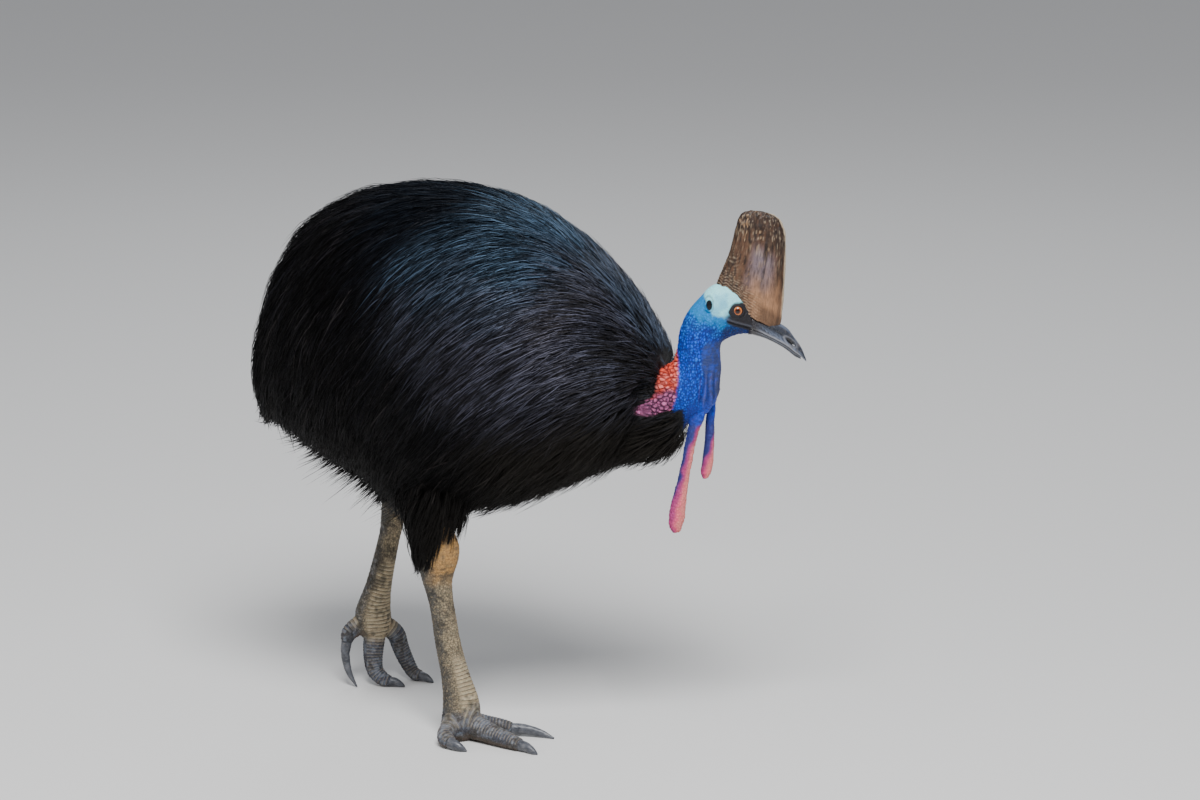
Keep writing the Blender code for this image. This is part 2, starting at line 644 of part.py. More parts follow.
def make_neck():
    """The lower neck with its collar of short locks, and the bare upper neck."""
    upper = [neck_ring(*NECK[NECK_PARTING], slide=GAP)]
    upper += [neck_ring(*station) for station in NECK[NECK_PARTING + 1 : -1]]
    upper.append(neck_ring(*NECK[-1], slide=-GAP))
    solid("neck_upper", loft(upper), "neck_skin")
    core_rings = []
    for i, (back, throat, half_width, turn) in enumerate(NECK[: NECK_PARTING + 1]):
        depth = COLLAR_DEPTH if i < NECK_PARTING else 0.0
        throat = (throat[0] - depth, throat[1] + depth)
        core_rings.append(neck_ring(back, throat, half_width - depth, turn))
    neck_lower = solid("neck_lower", loft(core_rings), "feather")
    locks = lay_locks("neck", neck_lower, loft(neck_envelope()), core_rings,
                      lambda point: NECK_LIE, NECK_LOCKS,
                      lambda root: COLLAR_DEPTH,
                      lambda root: root.z < COLLAR_TOP and root.x - BASE_SHIFT.x > NECK_LOCKS_FROM)
    combine(neck_lower, "UNION", locks)
    combine(neck_lower, "INTERSECT", [solid("neck_room", loft(neck_envelope()), "feather")])


def ball(name, middle, radii, finish="eye"):
    """A ball or egg-shaped solid in the head's axes."""
    bm = bmesh.new()
    bmesh.ops.create_uvsphere(bm, u_segments=14, v_segments=9, radius=1.0)
    for vert in bm.verts:
        ahead, side, up = (vert.co[i] * radii[i] for i in range(3))
        vert.co = head_point(middle[0] + ahead, middle[1] + up, middle[2] + side)
    return solid(name, bm, finish)


def ring_tube(name, middle, radius, thickness, finish, segments=16, sides=5):
    """A ring standing on edge along the side of the head, for a lid."""
    bm = bmesh.new()
    rows = []
    for i in range(segments):
        angle = math.tau * i / segments
        row = []
        for j in range(sides):
            turn = math.tau * j / sides
            reach = radius + thickness * math.cos(turn)
            row.append(bm.verts.new(head_point(
                middle[0] + reach * math.cos(angle),
                middle[1] + reach * math.sin(angle),
                middle[2] + thickness * math.sin(turn))))
        rows.append(row)
    for i in range(segments):
        near, far = rows[i], rows[(i + 1) % segments]
        for j in range(sides):
            k = (j + 1) % sides
            bm.faces.new((near[j], near[k], far[k], far[j]))
    return solid(name, bm, finish)


def mouth_groove(name, side):
    """A thin wedge along one side of the mouth line, to cut the head with."""
    rings = []
    for ahead, up, skin, opening in MOUTH_LINE:
        inner = head_point(ahead, up, side * (skin - MOUTH_DEPTH * opening))
        above = head_point(ahead, up + opening / 2, side * MOUTH_REACH)
        below = head_point(ahead, up - opening / 2, side * MOUTH_REACH)
        rings.append([inner, above, below])
    return solid(name, loft(rings), "bill_horn")


def make_head():
    """The head with its lids, ears and mouth line, and the two eyes in their sockets."""
    head = solid("head", loft([neck_ring(*station) for station in HEAD]), "head_skin")
    lids, sockets = [], []
    for name, side in (("left", 1), ("right", -1)):
        eye = ball("eye_" + name, (EYE_AT[0], EYE_AT[1], side * EYE_AT[2]), [EYE_RADIUS] * 3)
        sockets.append(grown(eye, GAP))
        lids.append(ring_tube("lid_" + name, (EYE_AT[0], EYE_AT[1], side * SKIN_AT_EYE),
                              LID_RADIUS, LID_THICKNESS, "head_skin"))
        sockets.append(ball("ear_" + name, (EAR_AT[0], EAR_AT[1], side * EAR_AT[2]),
                            (EAR_SIZE[0], EAR_SIZE[2], EAR_SIZE[1])))
        sockets.append(mouth_groove("mouth_" + name, side))
    combine(head, "UNION", lids)
    combine(head, "DIFFERENCE", sockets)


def bill_ring(ahead, ridge, edge, half_width):
    """A bill's section: flat along its cutting edge, arched over its ridge."""
    points = []
    for i in range(BILL_ARC + 1):
        angle = math.pi * i / BILL_ARC
        points.append(head_point(ahead, edge + (ridge - edge) * math.sin(angle) ** BILL_FULLNESS,
                                 half_width * math.cos(angle)))
    return points


def make_bill():
    """Both halves of the bill, with a nostril through each side of the upper one."""
    upper = solid("bill_upper", loft([bill_ring(*station) for station in BILL_UPPER]), "bill_horn")
    nostrils = [ball("nostril_" + name, (NOSTRIL_AT[0], NOSTRIL_AT[1], side * NOSTRIL_AT[2]),
                     (NOSTRIL_SIZE[0], NOSTRIL_SIZE[2], NOSTRIL_SIZE[1]))
                for name, side in (("left", 1), ("right", -1))]
    combine(upper, "DIFFERENCE", nostrils)
    solid("bill_lower", loft([bill_ring(*station) for station in BILL_LOWER]), "bill_horn")


def casque_ring(rear, front, half_width):
    """A section of the casque between its rear and front edges."""
    middle = head_point((rear[0] + front[0]) / 2, (rear[1] + front[1]) / 2)
    lengthwise = head_point(*front) - middle
    across = head_point(0.0, 0.0, half_width) - head_point(0.0, 0.0)
    return ellipse(middle, lengthwise, across, CASQUE_SIDES, CASQUE_FULLNESS)


def make_casque():
    """The horn helmet, seated on the skull and on the root of the bill."""
    casque = solid("casque", loft([casque_ring(*station) for station in CASQUE]), "horn")
    seat = [grown(bpy.data.objects[name], GAP) for name in ("head", "bill_upper")]
    combine(casque, "DIFFERENCE", seat)


def make_wattle(name, stations, side):
    """One wattle, a fold of skin that hangs from the throat and ends in a bulb."""
    rings = []
    for (ahead, up), half_width, half_thickness in stations:
        middle = head_point(ahead, up, side * WATTLE_SPREAD)
        along = head_point(half_width, 0.0) - head_point(0.0, 0.0)
        across = head_point(0.0, 0.0, half_thickness) - head_point(0.0, 0.0)
        rings.append(ellipse(middle, along, across, WATTLE_SIDES))
    wattle = solid(name, loft(rings), "wattle_skin")
    neighbours = [grown(bpy.data.objects[part], GAP) for part in ("neck_upper", "neck_lower")]
    combine(wattle, "DIFFERENCE", neighbours)


# ---- Legs ---------------------------------------------------------------------------------------


def leg_ring(x, y, z, depth, width, heading):
    """A level section of a leg, deeper along the foot's heading than across it."""
    forward = Vector((math.cos(heading), math.sin(heading), 0.0)) * depth / 2
    across = Vector((-math.sin(heading), math.cos(heading), 0.0)) * width / 2
    return ellipse(Vector((x, y, z)) + BASE_SHIFT, forward, across, LEG_SIDES)


def leg_rings(stations, heading):
    """The level sections of a leg."""
    return [leg_ring(*station, heading) for station in stations]


def make_leg(side, thigh_stations, shank_stations, heading):
    """A feathered thigh below the torso, and the bare shank down to the foot."""
    shank = solid("shank_" + side, loft(leg_rings(shank_stations, heading)), "leg_scale")
    core_stations = [(x, y, z, depth * THIGH_CORE, width * THIGH_CORE)
                     for x, y, z, depth, width in thigh_stations[: THIGH_CORE_END + 1]]
    core_rings = leg_rings(core_stations, heading)
    thigh = solid("thigh_" + side, loft(core_rings), "feather")
    locks = lay_locks(thigh.name, thigh, loft(leg_rings(thigh_stations, heading)), core_rings,
                      lambda point: THIGH_LIE, THIGH_LOCKS, lambda root: THIGH_RISE)
    combine(thigh, "UNION", locks)
    room = solid("thigh_room", loft(leg_rings(thigh_stations, heading)), "feather")
    combine(thigh, "INTERSECT", [room])
    combine(thigh, "DIFFERENCE", [grown(shank, GAP)])


def tube_rings(middles, heights, widths):
    """Sections square to a path, none of which reaches below the floor."""
    rings = []
    for i, middle in enumerate(middles):
        along = (middles[min(i + 1, len(middles) - 1)] - middles[max(i - 1, 0)]).normalized()
        across = Vector((0.0, 0.0, 1.0)).cross(along).normalized()
        upward = along.cross(across)
        ring = ellipse(middle, across * widths[i] / 2, upward * heights[i] / 2, TOE_SIDES)
        for point in ring:
            point.z = max(point.z, 0.0)
        rings.append(ring)
    return rings


def make_toe(name, stations, claw_name, claw_points, shank):
    """A toe from the foot to its last joint, and the claw that goes on from it."""
    middles = [Vector(station[:3]) + BASE_SHIFT for station in stations]
    heights = [station[3] for station in stations]
    widths = [station[4] for station in stations]
    toe = solid(name, loft(tube_rings(middles, heights, widths)), "leg_scale")
    combine(toe, "DIFFERENCE", [grown(shank, GAP)])
    path = [middles[-1]] + [Vector(point) + BASE_SHIFT for point in claw_points]
    path[0] = path[0] + (path[1] - path[0]).normalized() * 2 * GAP
    claw_heights = [heights[-1] * size for size in CLAW_SIZES]
    claw_widths = [widths[-1] * size * CLAW_SLIMNESS for size in CLAW_SIZES]
    claw = solid(claw_name, loft(tube_rings(path, claw_heights, claw_widths)), "claw_horn")
    combine(claw, "DIFFERENCE", [grown(toe, GAP)])


def make_feet():
    """Three toes on each foot; neighbours give way to the toe that was made before them."""
    for side in ("right", "left"):
        shank = bpy.data.objects["shank_" + side]
        made = []
        for which in ("middle", "inner", "outer"):
            name = f"toe_{which}_{side}"
            claw_name = f"claw_{which}_{side}"
            make_toe(name, TOES[name], claw_name, CLAWS[claw_name], shank)
            if made:
                neighbours = [grown(other, GAP) for other in made]
                combine(bpy.data.objects[name], "DIFFERENCE", neighbours)
            made.append(bpy.data.objects[name])


# ---- The bird -----------------------------------------------------------------------------------

clear_scene()
bird = bpy.data.collections.new("cassowary")
cutters = bpy.data.collections.new("cutters")
bpy.context.scene.collection.children.link(bird)
bpy.context.scene.collection.children.link(cutters)
make_neck()
make_body()
make_head()
make_bill()
make_casque()
make_wattle("wattle_right", WATTLE_RIGHT, -1)
make_wattle("wattle_left", WATTLE_LEFT, 1)
make_leg("right", RIGHT_THIGH, RIGHT_SHANK, RIGHT_HEADING)
make_leg("left", LEFT_THIGH, LEFT_SHANK, LEFT_HEADING)
make_feet()
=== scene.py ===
"""A southern cassowary at life size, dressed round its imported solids: skin, feathers, horn, eyes and claws.

The bird faces +X, its left side is at +Y and the floor is z = 0. Lengths are in metres, and each section
makes one part of the animal, from the sizes that stand at its head.
"""

import math

import bmesh
import bpy
import numpy as np
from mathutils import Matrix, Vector
from mathutils.bvhtree import BVHTree


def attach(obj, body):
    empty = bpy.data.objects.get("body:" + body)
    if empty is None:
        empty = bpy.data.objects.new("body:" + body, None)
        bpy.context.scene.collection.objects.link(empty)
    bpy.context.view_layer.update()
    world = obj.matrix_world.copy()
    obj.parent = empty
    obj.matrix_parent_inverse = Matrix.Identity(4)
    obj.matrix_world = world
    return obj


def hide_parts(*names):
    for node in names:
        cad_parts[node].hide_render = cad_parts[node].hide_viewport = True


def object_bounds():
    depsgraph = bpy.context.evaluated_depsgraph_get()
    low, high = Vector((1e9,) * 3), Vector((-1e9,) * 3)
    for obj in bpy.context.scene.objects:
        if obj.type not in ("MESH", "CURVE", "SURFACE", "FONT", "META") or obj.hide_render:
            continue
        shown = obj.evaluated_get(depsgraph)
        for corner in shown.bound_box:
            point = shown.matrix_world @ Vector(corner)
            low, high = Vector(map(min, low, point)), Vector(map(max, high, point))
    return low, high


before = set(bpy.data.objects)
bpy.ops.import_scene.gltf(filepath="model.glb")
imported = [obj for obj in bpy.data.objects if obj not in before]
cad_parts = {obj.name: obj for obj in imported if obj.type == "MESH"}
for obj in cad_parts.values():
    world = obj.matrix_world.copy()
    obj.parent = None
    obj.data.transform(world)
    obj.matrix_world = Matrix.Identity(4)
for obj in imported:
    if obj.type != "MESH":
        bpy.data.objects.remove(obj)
cad_low, cad_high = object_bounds()

# ---- Camera -------------------------------------------------------------------------------------
# A long lens on the bird's right, a little ahead of its side and above its back, as a visitor would
# stand a few steps off and look slightly down on it.

BIRD_ORIGIN = np.array((-0.1085, -0.0011, 0.0))  # where the bird's own x = y = 0 lies in the part's frame
CAMERA_AZIMUTH = math.radians(22)
CAMERA_ELEVATION = math.radians(13)
CAMERA_DISTANCE = 7.0
CAMERA_AIM = np.array((0.2552, 0.0, 0.6074)) + BIRD_ORIGIN
LENS_MM, SENSOR_MM = 120, 36

camera = bpy.data.objects.new("camera", bpy.data.cameras.new("camera"))
bpy.context.scene.collection.objects.link(camera)
camera.data.lens = LENS_MM
camera.data.sensor_width = SENSOR_MM
camera_back = Vector((
    math.sin(CAMERA_AZIMUTH) * math.cos(CAMERA_ELEVATION),
    -math.cos(CAMERA_AZIMUTH) * math.cos(CAMERA_ELEVATION),
    math.sin(CAMERA_ELEVATION),
))
camera.location = Vector(CAMERA_AIM) + camera_back * CAMERA_DISTANCE
camera.rotation_euler = (math.pi / 2 - CAMERA_ELEVATION, 0.0, CAMERA_AZIMUTH)
bpy.context.scene.camera = camera

# ---- Floor and light ----------------------------------------------------------------------------
# A plain pale floor under a large cool softbox high over the visitor's right shoulder, a weak one on
# the left and one behind the bird that lights its edge, in a pale room.

FLOOR_HALF = 30.0
FLOOR_COLOUR = (0.70, 0.69, 0.67, 1.0)
FLOOR_ROUGHNESS = 0.85
ROOM_COLOUR, ROOM_STRENGTH = (0.90, 0.93, 1.0, 1.0), 0.40
SOFTBOXES = {  # where it hangs from the bird, its side, its power and its colour
    "key": ((1.7, -3.4, 5.0), 2.6, 640.0, (0.97, 0.98, 1.0)),
    "fill": ((-4.2, -4.5, 2.6), 3.5, 60.0, (1.0, 0.97, 0.93)),
    "edge": ((-1.5, 4.0, 3.8), 2.4, 50.0, (0.88, 0.94, 1.0)),
}

floor_mesh = bpy.data.meshes.new("floor")
floor_mesh.from_pydata(
    [(x * FLOOR_HALF, y * FLOOR_HALF, 0.0) for x, y in ((-1, -1), (1, -1), (1, 1), (-1, 1))],
    [], [(0, 1, 2, 3)])
floor = bpy.data.objects.new("floor", floor_mesh)
bpy.context.scene.collection.objects.link(floor)
floor_paint = bpy.data.materials.new("floor paint")
floor_paint.use_nodes = True
floor_paint.node_tree.nodes["Principled BSDF"].inputs["Base Color"].default_value = FLOOR_COLOUR
floor_paint.node_tree.nodes["Principled BSDF"].inputs["Roughness"].default_value = FLOOR_ROUGHNESS
floor.data.materials.append(floor_paint)

bird_middle = Vector((cad_low + cad_high) / 2)
for name, (place, side, power, colour) in SOFTBOXES.items():
    light = bpy.data.lights.new(name, "AREA")
    light.size = side
    light.energy = power
    light.color = colour
    softbox = bpy.data.objects.new(name, light)
    bpy.context.scene.collection.objects.link(softbox)
    softbox.location = bird_middle + Vector(place)
    softbox.rotation_euler = (-Vector(place)).to_track_quat("-Z", "Y").to_euler()

room = bpy.data.worlds.new("room")
room.use_nodes = True
room.node_tree.nodes["Background"].inputs["Color"].default_value = ROOM_COLOUR
room.node_tree.nodes["Background"].inputs["Strength"].default_value = ROOM_STRENGTH
bpy.context.scene.world = room

# ---- Skin ---------------------------------------------------------------------------------------
# One hide from the bill to the toes. It is modelled in close rings over the flesh, with lids round the
# eyes, ear cups, wattles under the throat and three toes on each foot, and its grain is pressed in.

HEAD_YAW = math.radians(22)  # the head is turned this far to the bird's left
NECK_TOP = np.array((0.441, 0.0, 0.741))  # origin of the head's own frame
FORWARD = np.array((math.cos(HEAD_YAW), math.sin(HEAD_YAW), 0.0))
LEFTWARD = np.array((-math.sin(HEAD_YAW), math.cos(HEAD_YAW), 0.0))
UPWARD = np.array((0.0, 0.0, 1.0))

# Neck and head: back line and throat line (ahead, up), half width, share of the head's turn.
NECK = (
    (-0.221, -0.041, -0.208, -0.244, 0.078, 0.0),
    (-0.171, -0.051, -0.138, -0.234, 0.063, 0.0),
    (-0.136, -0.061, -0.075, -0.222, 0.051, 0.1),
    (-0.106, -0.069, -0.041, -0.195, 0.043, 0.2),
    (-0.081, -0.064, -0.018, -0.160, 0.039, 0.4),
    (-0.060, -0.059, 0.015, -0.138, 0.038, 0.6),
    (-0.048, -0.053, 0.033, -0.108, 0.035, 0.8),
    (-0.042, -0.042, 0.037, -0.068, 0.033, 0.9),
    (-0.038, -0.020, 0.036, -0.040, 0.032, 1.0),
    (-0.035, 0.003, 0.0355, -0.0260, 0.0315, 1.0),
    (-0.029, 0.022, 0.0380, -0.0150, 0.0315, 1.0),
    (-0.018, 0.043, 0.0460, -0.0085, 0.0320, 1.0),
    (0.000, 0.064, 0.0550, -0.0040, 0.0320, 1.0),
    (0.020, 0.084, 0.0640, -0.0010, 0.0310, 1.0),
    (0.045, 0.090, 0.0735, 0.0006, 0.0285, 1.0),
    (0.066, 0.079, 0.0810, 0.0006, 0.0245, 1.0),
    (0.082, 0.061, 0.0860, -0.0002, 0.0205, 1.0),
    (0.090, 0.044, 0.0895, -0.0010, 0.0185, 1.0),
)
BARE_FROM = 2  # the row of NECK from which the hide shows and is modelled finely
NECK_SIDES = 72

EYE_AT = (0.0640, 0.0455, 0.0176)  # ahead, up and to the side
LID_AT = 0.0262  # how far the lids are from the head's middle
LID_SIZE = (0.0106, 0.0094, 0.0019)  # half length, half height and thickness of the ring of the lids
EAR_AT = (0.0150, 0.0560, 0.0335)  # ahead, up and to the side
EAR_SIZE = (0.0050, 0.0085, 0.0075)  # half length, half height and depth of the ear's cup
EAR_RIM = (0.0064, 0.0104, 0.0015)  # half length, half height and thickness of the ring of its rim
EAR_RIM_AT = 0.0305  # how far that ring is from the head's middle
WART_SIZE = (0.0042, 0.0042, 0.0056)  # of the warts on the blue neck, along x, y and z
BEAD_SIZE = (0.0098, 0.0084, 0.0068)  # and of the beads on the red nape
CREASE_PITCH, FOLD_PITCH, PLEAT_PITCH, LID_PITCH = 0.0026, 0.0060, 0.0046, 0.0024  # half a wave of each
GAPE = ((0.0460, 0.0270), (0.0620, 0.0210), (0.0770, 0.0158), (0.0925, 0.0108))  # the mouth's line
# Edges of the head's colours: how far ahead, and how far up the edge is there.
TURQUOISE_EDGE = ((-0.040, -0.025, -0.006, 0.017, 0.037, 0.060),
                  (0.058, 0.048, 0.031, 0.022, 0.017, 0.020))
PALE_EDGE = ((-0.040, 0.000, 0.008, 0.021, 0.031, 0.045), (0.110, 0.086, 0.066, 0.042, 0.034, 0.038))
LORE_EDGE = ((0.040, 0.048, 0.058, 0.070, 0.080, 0.088), (0.038, 0.041, 0.058, 0.061, 0.057, 0.050))
JAW_EDGE = ((0.030, 0.036, 0.045, 0.060), (0.012, 0.014, 0.020, 0.024))
# And how far up, and how far ahead the edge is there.
LORE_REAR = ((0.008, 0.022, 0.036, 0.045), (0.052, 0.043, 0.046, 0.051))
THROAT_REAR = ((-0.120, -0.020, 0.0), (0.0045, 0.0045, 0.020))
NAPE_FRONT = ((0.600, 0.630, 0.650, 0.680, 0.700, 0.720),
              (0.400, 0.412, 0.417, 0.414, 0.410, 0.400))  # z and x of the bird's own frame
NAPE_LOW, NAPE_HIGH = (0.57, 0.59), (0.722, 0.708)  # z over which the red skin begins and ends
HEAD_GRAIN = {  # how high the skin's grain stands on the head and neck
    "wart": 0.0011, "neck_fold": 0.00025, "crease": 0.00045, "pleat": 0.0012, "bead": 0.0034,
    "bead_wart": 0.0006, "pale": 0.0004, "turquoise_wart": 0.0004, "lid_fold": 0.0005, "wattle": 0.0010,
    "gape": 0.0011,
}

# Wattles: ahead and up of the middle, half width from the side, half thickness.
WATTLES = {
    "right": (
        (0.010, -0.096, 0.0150, 0.0080),
        (-0.001, -0.135, 0.0140, 0.0080),
        (-0.010, -0.166, 0.0105, 0.0075),
        (-0.017, -0.198, 0.0094, 0.0070),
        (-0.023, -0.232, 0.0093, 0.0075),
        (-0.030, -0.268, 0.0106, 0.0085),
        (-0.036, -0.303, 0.0135, 0.0100),
        (-0.039, -0.328, 0.0138, 0.0102),
        (-0.040, -0.342, 0.0110, 0.0085),
        (-0.040, -0.351, 0.0050, 0.0045),
    ),
    "left": (
        (0.026, -0.100, 0.0100, 0.0070),
        (0.022, -0.124, 0.0080, 0.0070),
        (0.019, -0.160, 0.0080, 0.0070),
        (0.018, -0.196, 0.0085, 0.0072),
        (0.016, -0.226, 0.0098, 0.0080),
        (0.013, -0.247, 0.0096, 0.0078),
        (0.011, -0.261, 0.0045, 0.0040),
    ),
}
WATTLE_SPREAD = 0.014  # how far each wattle's middle is from the throat's
WATTLE_FROM = (-0.105, -0.130)  # up over which the wattles' colours begin
WATTLE_ALONE = (-0.232, -0.240)  # and from where nothing but wattles is there
RIPE_FROM = {"right": 0.190, "left": 0.204}  # how far down a wattle begins to turn from blue to pink
RIPE_OVER = {"right": 0.120, "left": 0.042}  # and over how much

# Body under the feathers: x, height of the back, height of the belly, half width of the plumage.
PLUMAGE = (
    (-0.392, 0.640, 0.548, 0.045),
    (-0.377, 0.716, 0.535, 0.082),
    (-0.341, 0.823, 0.520, 0.122),
    (-0.288, 0.897, 0.497, 0.160),
    (-0.210, 0.946, 0.465, 0.194),
    (-0.119, 0.968, 0.429, 0.217),
    (-0.020, 0.973, 0.405, 0.230),
    (0.080, 0.957, 0.415, 0.226),
    (0.163, 0.922, 0.447, 0.208),
    (0.237, 0.870, 0.479, 0.179),
    (0.297, 0.816, 0.509, 0.144),
    (0.342, 0.763, 0.565, 0.100),
    (0.375, 0.718, 0.632, 0.058),
    (0.387, 0.697, 0.660, 0.025),
)
HIDE_FRONT = ((0.342, 0.763, 0.628, 0.086), (0.375, 0.717, 0.664, 0.050))  # it ends higher than the feathers
COAT_DEPTH = ((-0.40, -0.20, 0.10, 0.28, 0.38), (0.036, 0.026, 0.020, 0.014, 0.012))  # x, and hide to tips
REAR_FROM, REAR_LENGTH = -0.15, 0.15  # x from which the hide draws in from the rear too, and over how much
FULLNESS = 0.94  # of the body's sections, where 1 is an ellipse

# Legs: x, y, z of the middle, depth along the foot's heading, width across it.
HEADINGS = {"right": math.radians(-8), "left": math.radians(-32)}
THIGHS = {
    "right": (
        (-0.018, -0.112, 0.480, 0.172, 0.135),
        (-0.015, -0.115, 0.430, 0.142, 0.118),
        (-0.012, -0.117, 0.385, 0.112, 0.100),
        (-0.010, -0.119, 0.350, 0.094, 0.086),
        (-0.008, -0.120, 0.312, 0.084, 0.076),
    ),
    "left": (
        (-0.146, 0.112, 0.525, 0.172, 0.135),
        (-0.158, 0.115, 0.475, 0.142, 0.118),
        (-0.172, 0.117, 0.432, 0.112, 0.100),
        (-0.184, 0.119, 0.400, 0.094, 0.086),
        (-0.194, 0.120, 0.366, 0.082, 0.074),
    ),
}
THIGH_CORE = 0.66  # share of a thigh's breadth that is flesh
SHANKS = {
    "right": (
        (-0.010, -0.120, 0.392, 0.046, 0.042),
        (-0.006, -0.120, 0.368, 0.068, 0.057),
        (-0.003, -0.120, 0.346, 0.077, 0.063),
        (-0.004, -0.120, 0.322, 0.074, 0.063),
        (-0.0065, -0.120, 0.290, 0.058, 0.052),
        (-0.0025, -0.120, 0.262, 0.049, 0.042),
        (0.004, -0.120, 0.230, 0.046, 0.038),
        (0.014, -0.121, 0.172, 0.048, 0.040),
        (0.0275, -0.122, 0.118, 0.053, 0.045),
        (0.038, -0.123, 0.076, 0.064, 0.056),
        (0.040, -0.124, 0.045, 0.068, 0.066),
        (0.036, -0.125, 0.015, 0.066, 0.068),
        (0.035, -0.125, 0.000, 0.052, 0.054),
    ),
    "left": (
        (-0.178, 0.120, 0.436, 0.046, 0.042),
        (-0.183, 0.120, 0.404, 0.066, 0.057),
        (-0.190, 0.120, 0.375, 0.066, 0.056),
        (-0.199, 0.120, 0.340, 0.056, 0.046),
        (-0.2085, 0.120, 0.293, 0.046, 0.037),
        (-0.2225, 0.120, 0.236, 0.046, 0.041),
        (-0.2335, 0.120, 0.192, 0.048, 0.048),
        (-0.2410, 0.120, 0.164, 0.054, 0.058),
        (-0.2460, 0.120, 0.138, 0.058, 0.068),
        (-0.2450, 0.120, 0.108, 0.056, 0.070),
        (-0.2420, 0.119, 0.092, 0.040, 0.052),
    ),
}
# Toes: x, y, z of the middle, height, width.
TOES = {
    "middle_right": (
        (0.045, -0.123, 0.028, 0.052, 0.046),
        (0.080, -0.131, 0.022, 0.042, 0.038),
        (0.115, -0.141, 0.017, 0.034, 0.032),
        (0.145, -0.150, 0.014, 0.028, 0.027),
        (0.167, -0.156, 0.011, 0.022, 0.022),
    ),
    "inner_right": (
        (0.045, -0.112, 0.026, 0.044, 0.038),
        (0.073, -0.098, 0.020, 0.036, 0.032),
        (0.100, -0.087, 0.016, 0.030, 0.028),
        (0.118, -0.081, 0.013, 0.024, 0.022),
    ),
    "outer_right": (
        (0.036, -0.135, 0.026, 0.044, 0.038),
        (0.030, -0.158, 0.020, 0.038, 0.033),
        (0.034, -0.180, 0.016, 0.032, 0.029),
        (0.048, -0.192, 0.012, 0.024, 0.023),
    ),
    "middle_left": (
        (-0.2405, 0.117, 0.108, 0.040, 0.044),
        (-0.2420, 0.113, 0.080, 0.038, 0.040),
        (-0.2420, 0.109, 0.052, 0.034, 0.035),
        (-0.2370, 0.107, 0.028, 0.031, 0.031),
        (-0.2220, 0.107, 0.014, 0.026, 0.027),
        (-0.2080, 0.109, 0.010, 0.020, 0.022),
    ),
    "inner_left": (
        (-0.2530, 0.104, 0.122, 0.036, 0.034),
        (-0.2680, 0.094, 0.112, 0.034, 0.032),
        (-0.2790, 0.086, 0.100, 0.030, 0.028),
        (-0.2830, 0.083, 0.086, 0.022, 0.022),
    ),
    "outer_left": (
        (-0.2350, 0.136, 0.112, 0.036, 0.034),
        (-0.2150, 0.150, 0.090, 0.034, 0.032),
        (-0.2080, 0.157, 0.062, 0.031, 0.029),
        (-0.1980, 0.161, 0.036, 0.028, 0.027),
        (-0.1840, 0.162, 0.014, 0.024, 0.024),
        (-0.1700, 0.161, 0.010, 0.020, 0.021),
    ),
}
NECK_GRID, LEG_GRID = 0.0012, 0.0014  # size of the faces of the bare hide
FLOOR_GAP = 0.0002  # from the floor to the lowest skin and claws
MANTLE_EDGE = ((0.600, 0.612, 0.621, 0.632, 0.641, 0.679, 0.692, 0.702),
               (0.345, 0.350, 0.361, 0.381, 0.388, 0.387, 0.398, 0.402))  # z, x
COLLAR_EDGE = ((0.347, 0.378, 0.410, 0.424, 0.430), (0.607, 0.606, 0.615, 0.620, 0.622))  # x, z


def fine(table, steps):
    """A table with so many rows for each of its gaps, on a smooth curve through its own rows."""
    rows = np.array(table, float)
    rows = np.vstack((2 * rows[0] - rows[1], rows, 2 * rows[-1] - rows[-2]))
    made = []
    for a, b, c, d in zip(rows, rows[1:], rows[2:], rows[3:]):
        for t in np.arange(steps) / steps:
            made.append(b + t * ((c - a) + t * ((2 * a - 5 * b + 4 * c - d)
                                                + t * (3 * (b - c) + d - a))) / 2)
    return np.array(made + [rows[-2]])


def oval(middle, across, upward, sides, fullness=1.0):
    """Points round an ellipse with those two half axes; a fullness under 1 squares its corners."""
    turn = np.arange(sides) * math.tau / sides
    c, s = np.cos(turn), np.sin(turn)
    c, s = np.copysign(np.abs(c) ** fullness, c), np.copysign(np.abs(s) ** fullness, s)
    return np.asarray(middle) + c[:, None] * across + s[:, None] * upward


def woven(count, sides, bands):
    """Triangles in so many bands between neighbouring rings; the last may join the first ring again."""
    i, j = np.meshgrid(np.arange(bands), np.arange(sides), indexing="ij")
    k, after = (j + 1) % sides, (i + 1) % count
    a, b, c, d = i * sides + j, i * sides + k, after * sides + k, after * sides + j
    return np.vstack((np.stack((a, b, c), -1).reshape(-1, 3), np.stack((a, c, d), -1).reshape(-1, 3)))


def tube(rings):
    """The points and triangles of a closed tube through rings of equally many points."""
    rings = np.array(rings)
    count, sides, _ = rings.shape
    points = np.vstack((rings.reshape(-1, 3), rings[0].mean(0), rings[-1].mean(0)))
    near, far = np.arange(sides), (np.arange(sides) + 1) % sides
    last = (count - 1) * sides
    faces = np.vstack((
        woven(count, sides, count - 1),
        np.stack((far, near, np.full(sides, count * sides)), -1),
        np.stack((last + near, last + far, np.full(sides, count * sides + 1)), -1)))
    return points, faces


def set_points(mesh, points):
    """Put a mesh's points at these places of the bird's own frame."""
    mesh.vertices.foreach_set("co", (np.asarray(points) + BIRD_ORIGIN).astype(np.float32).ravel())


def shape(name, points, faces):
    """An object from points of the bird's own frame and triangles, turned outward and shaded smooth."""
    mesh = bpy.data.meshes.new(name)
    mesh.vertices.add(len(points))
    set_points(mesh, points)
    mesh.loops.add(3 * len(faces))
    mesh.loops.foreach_set("vertex_index", np.asarray(faces, np.int32).ravel())
    mesh.polygons.add(len(faces))
    mesh.polygons.foreach_set("loop_start", np.arange(0, 3 * len(faces), 3, dtype=np.int32))
    mesh.update(calc_edges=True)
    mesh.shade_smooth()
    made = bpy.data.objects.new(name, mesh)
    bpy.context.scene.collection.objects.link(made)
    return made


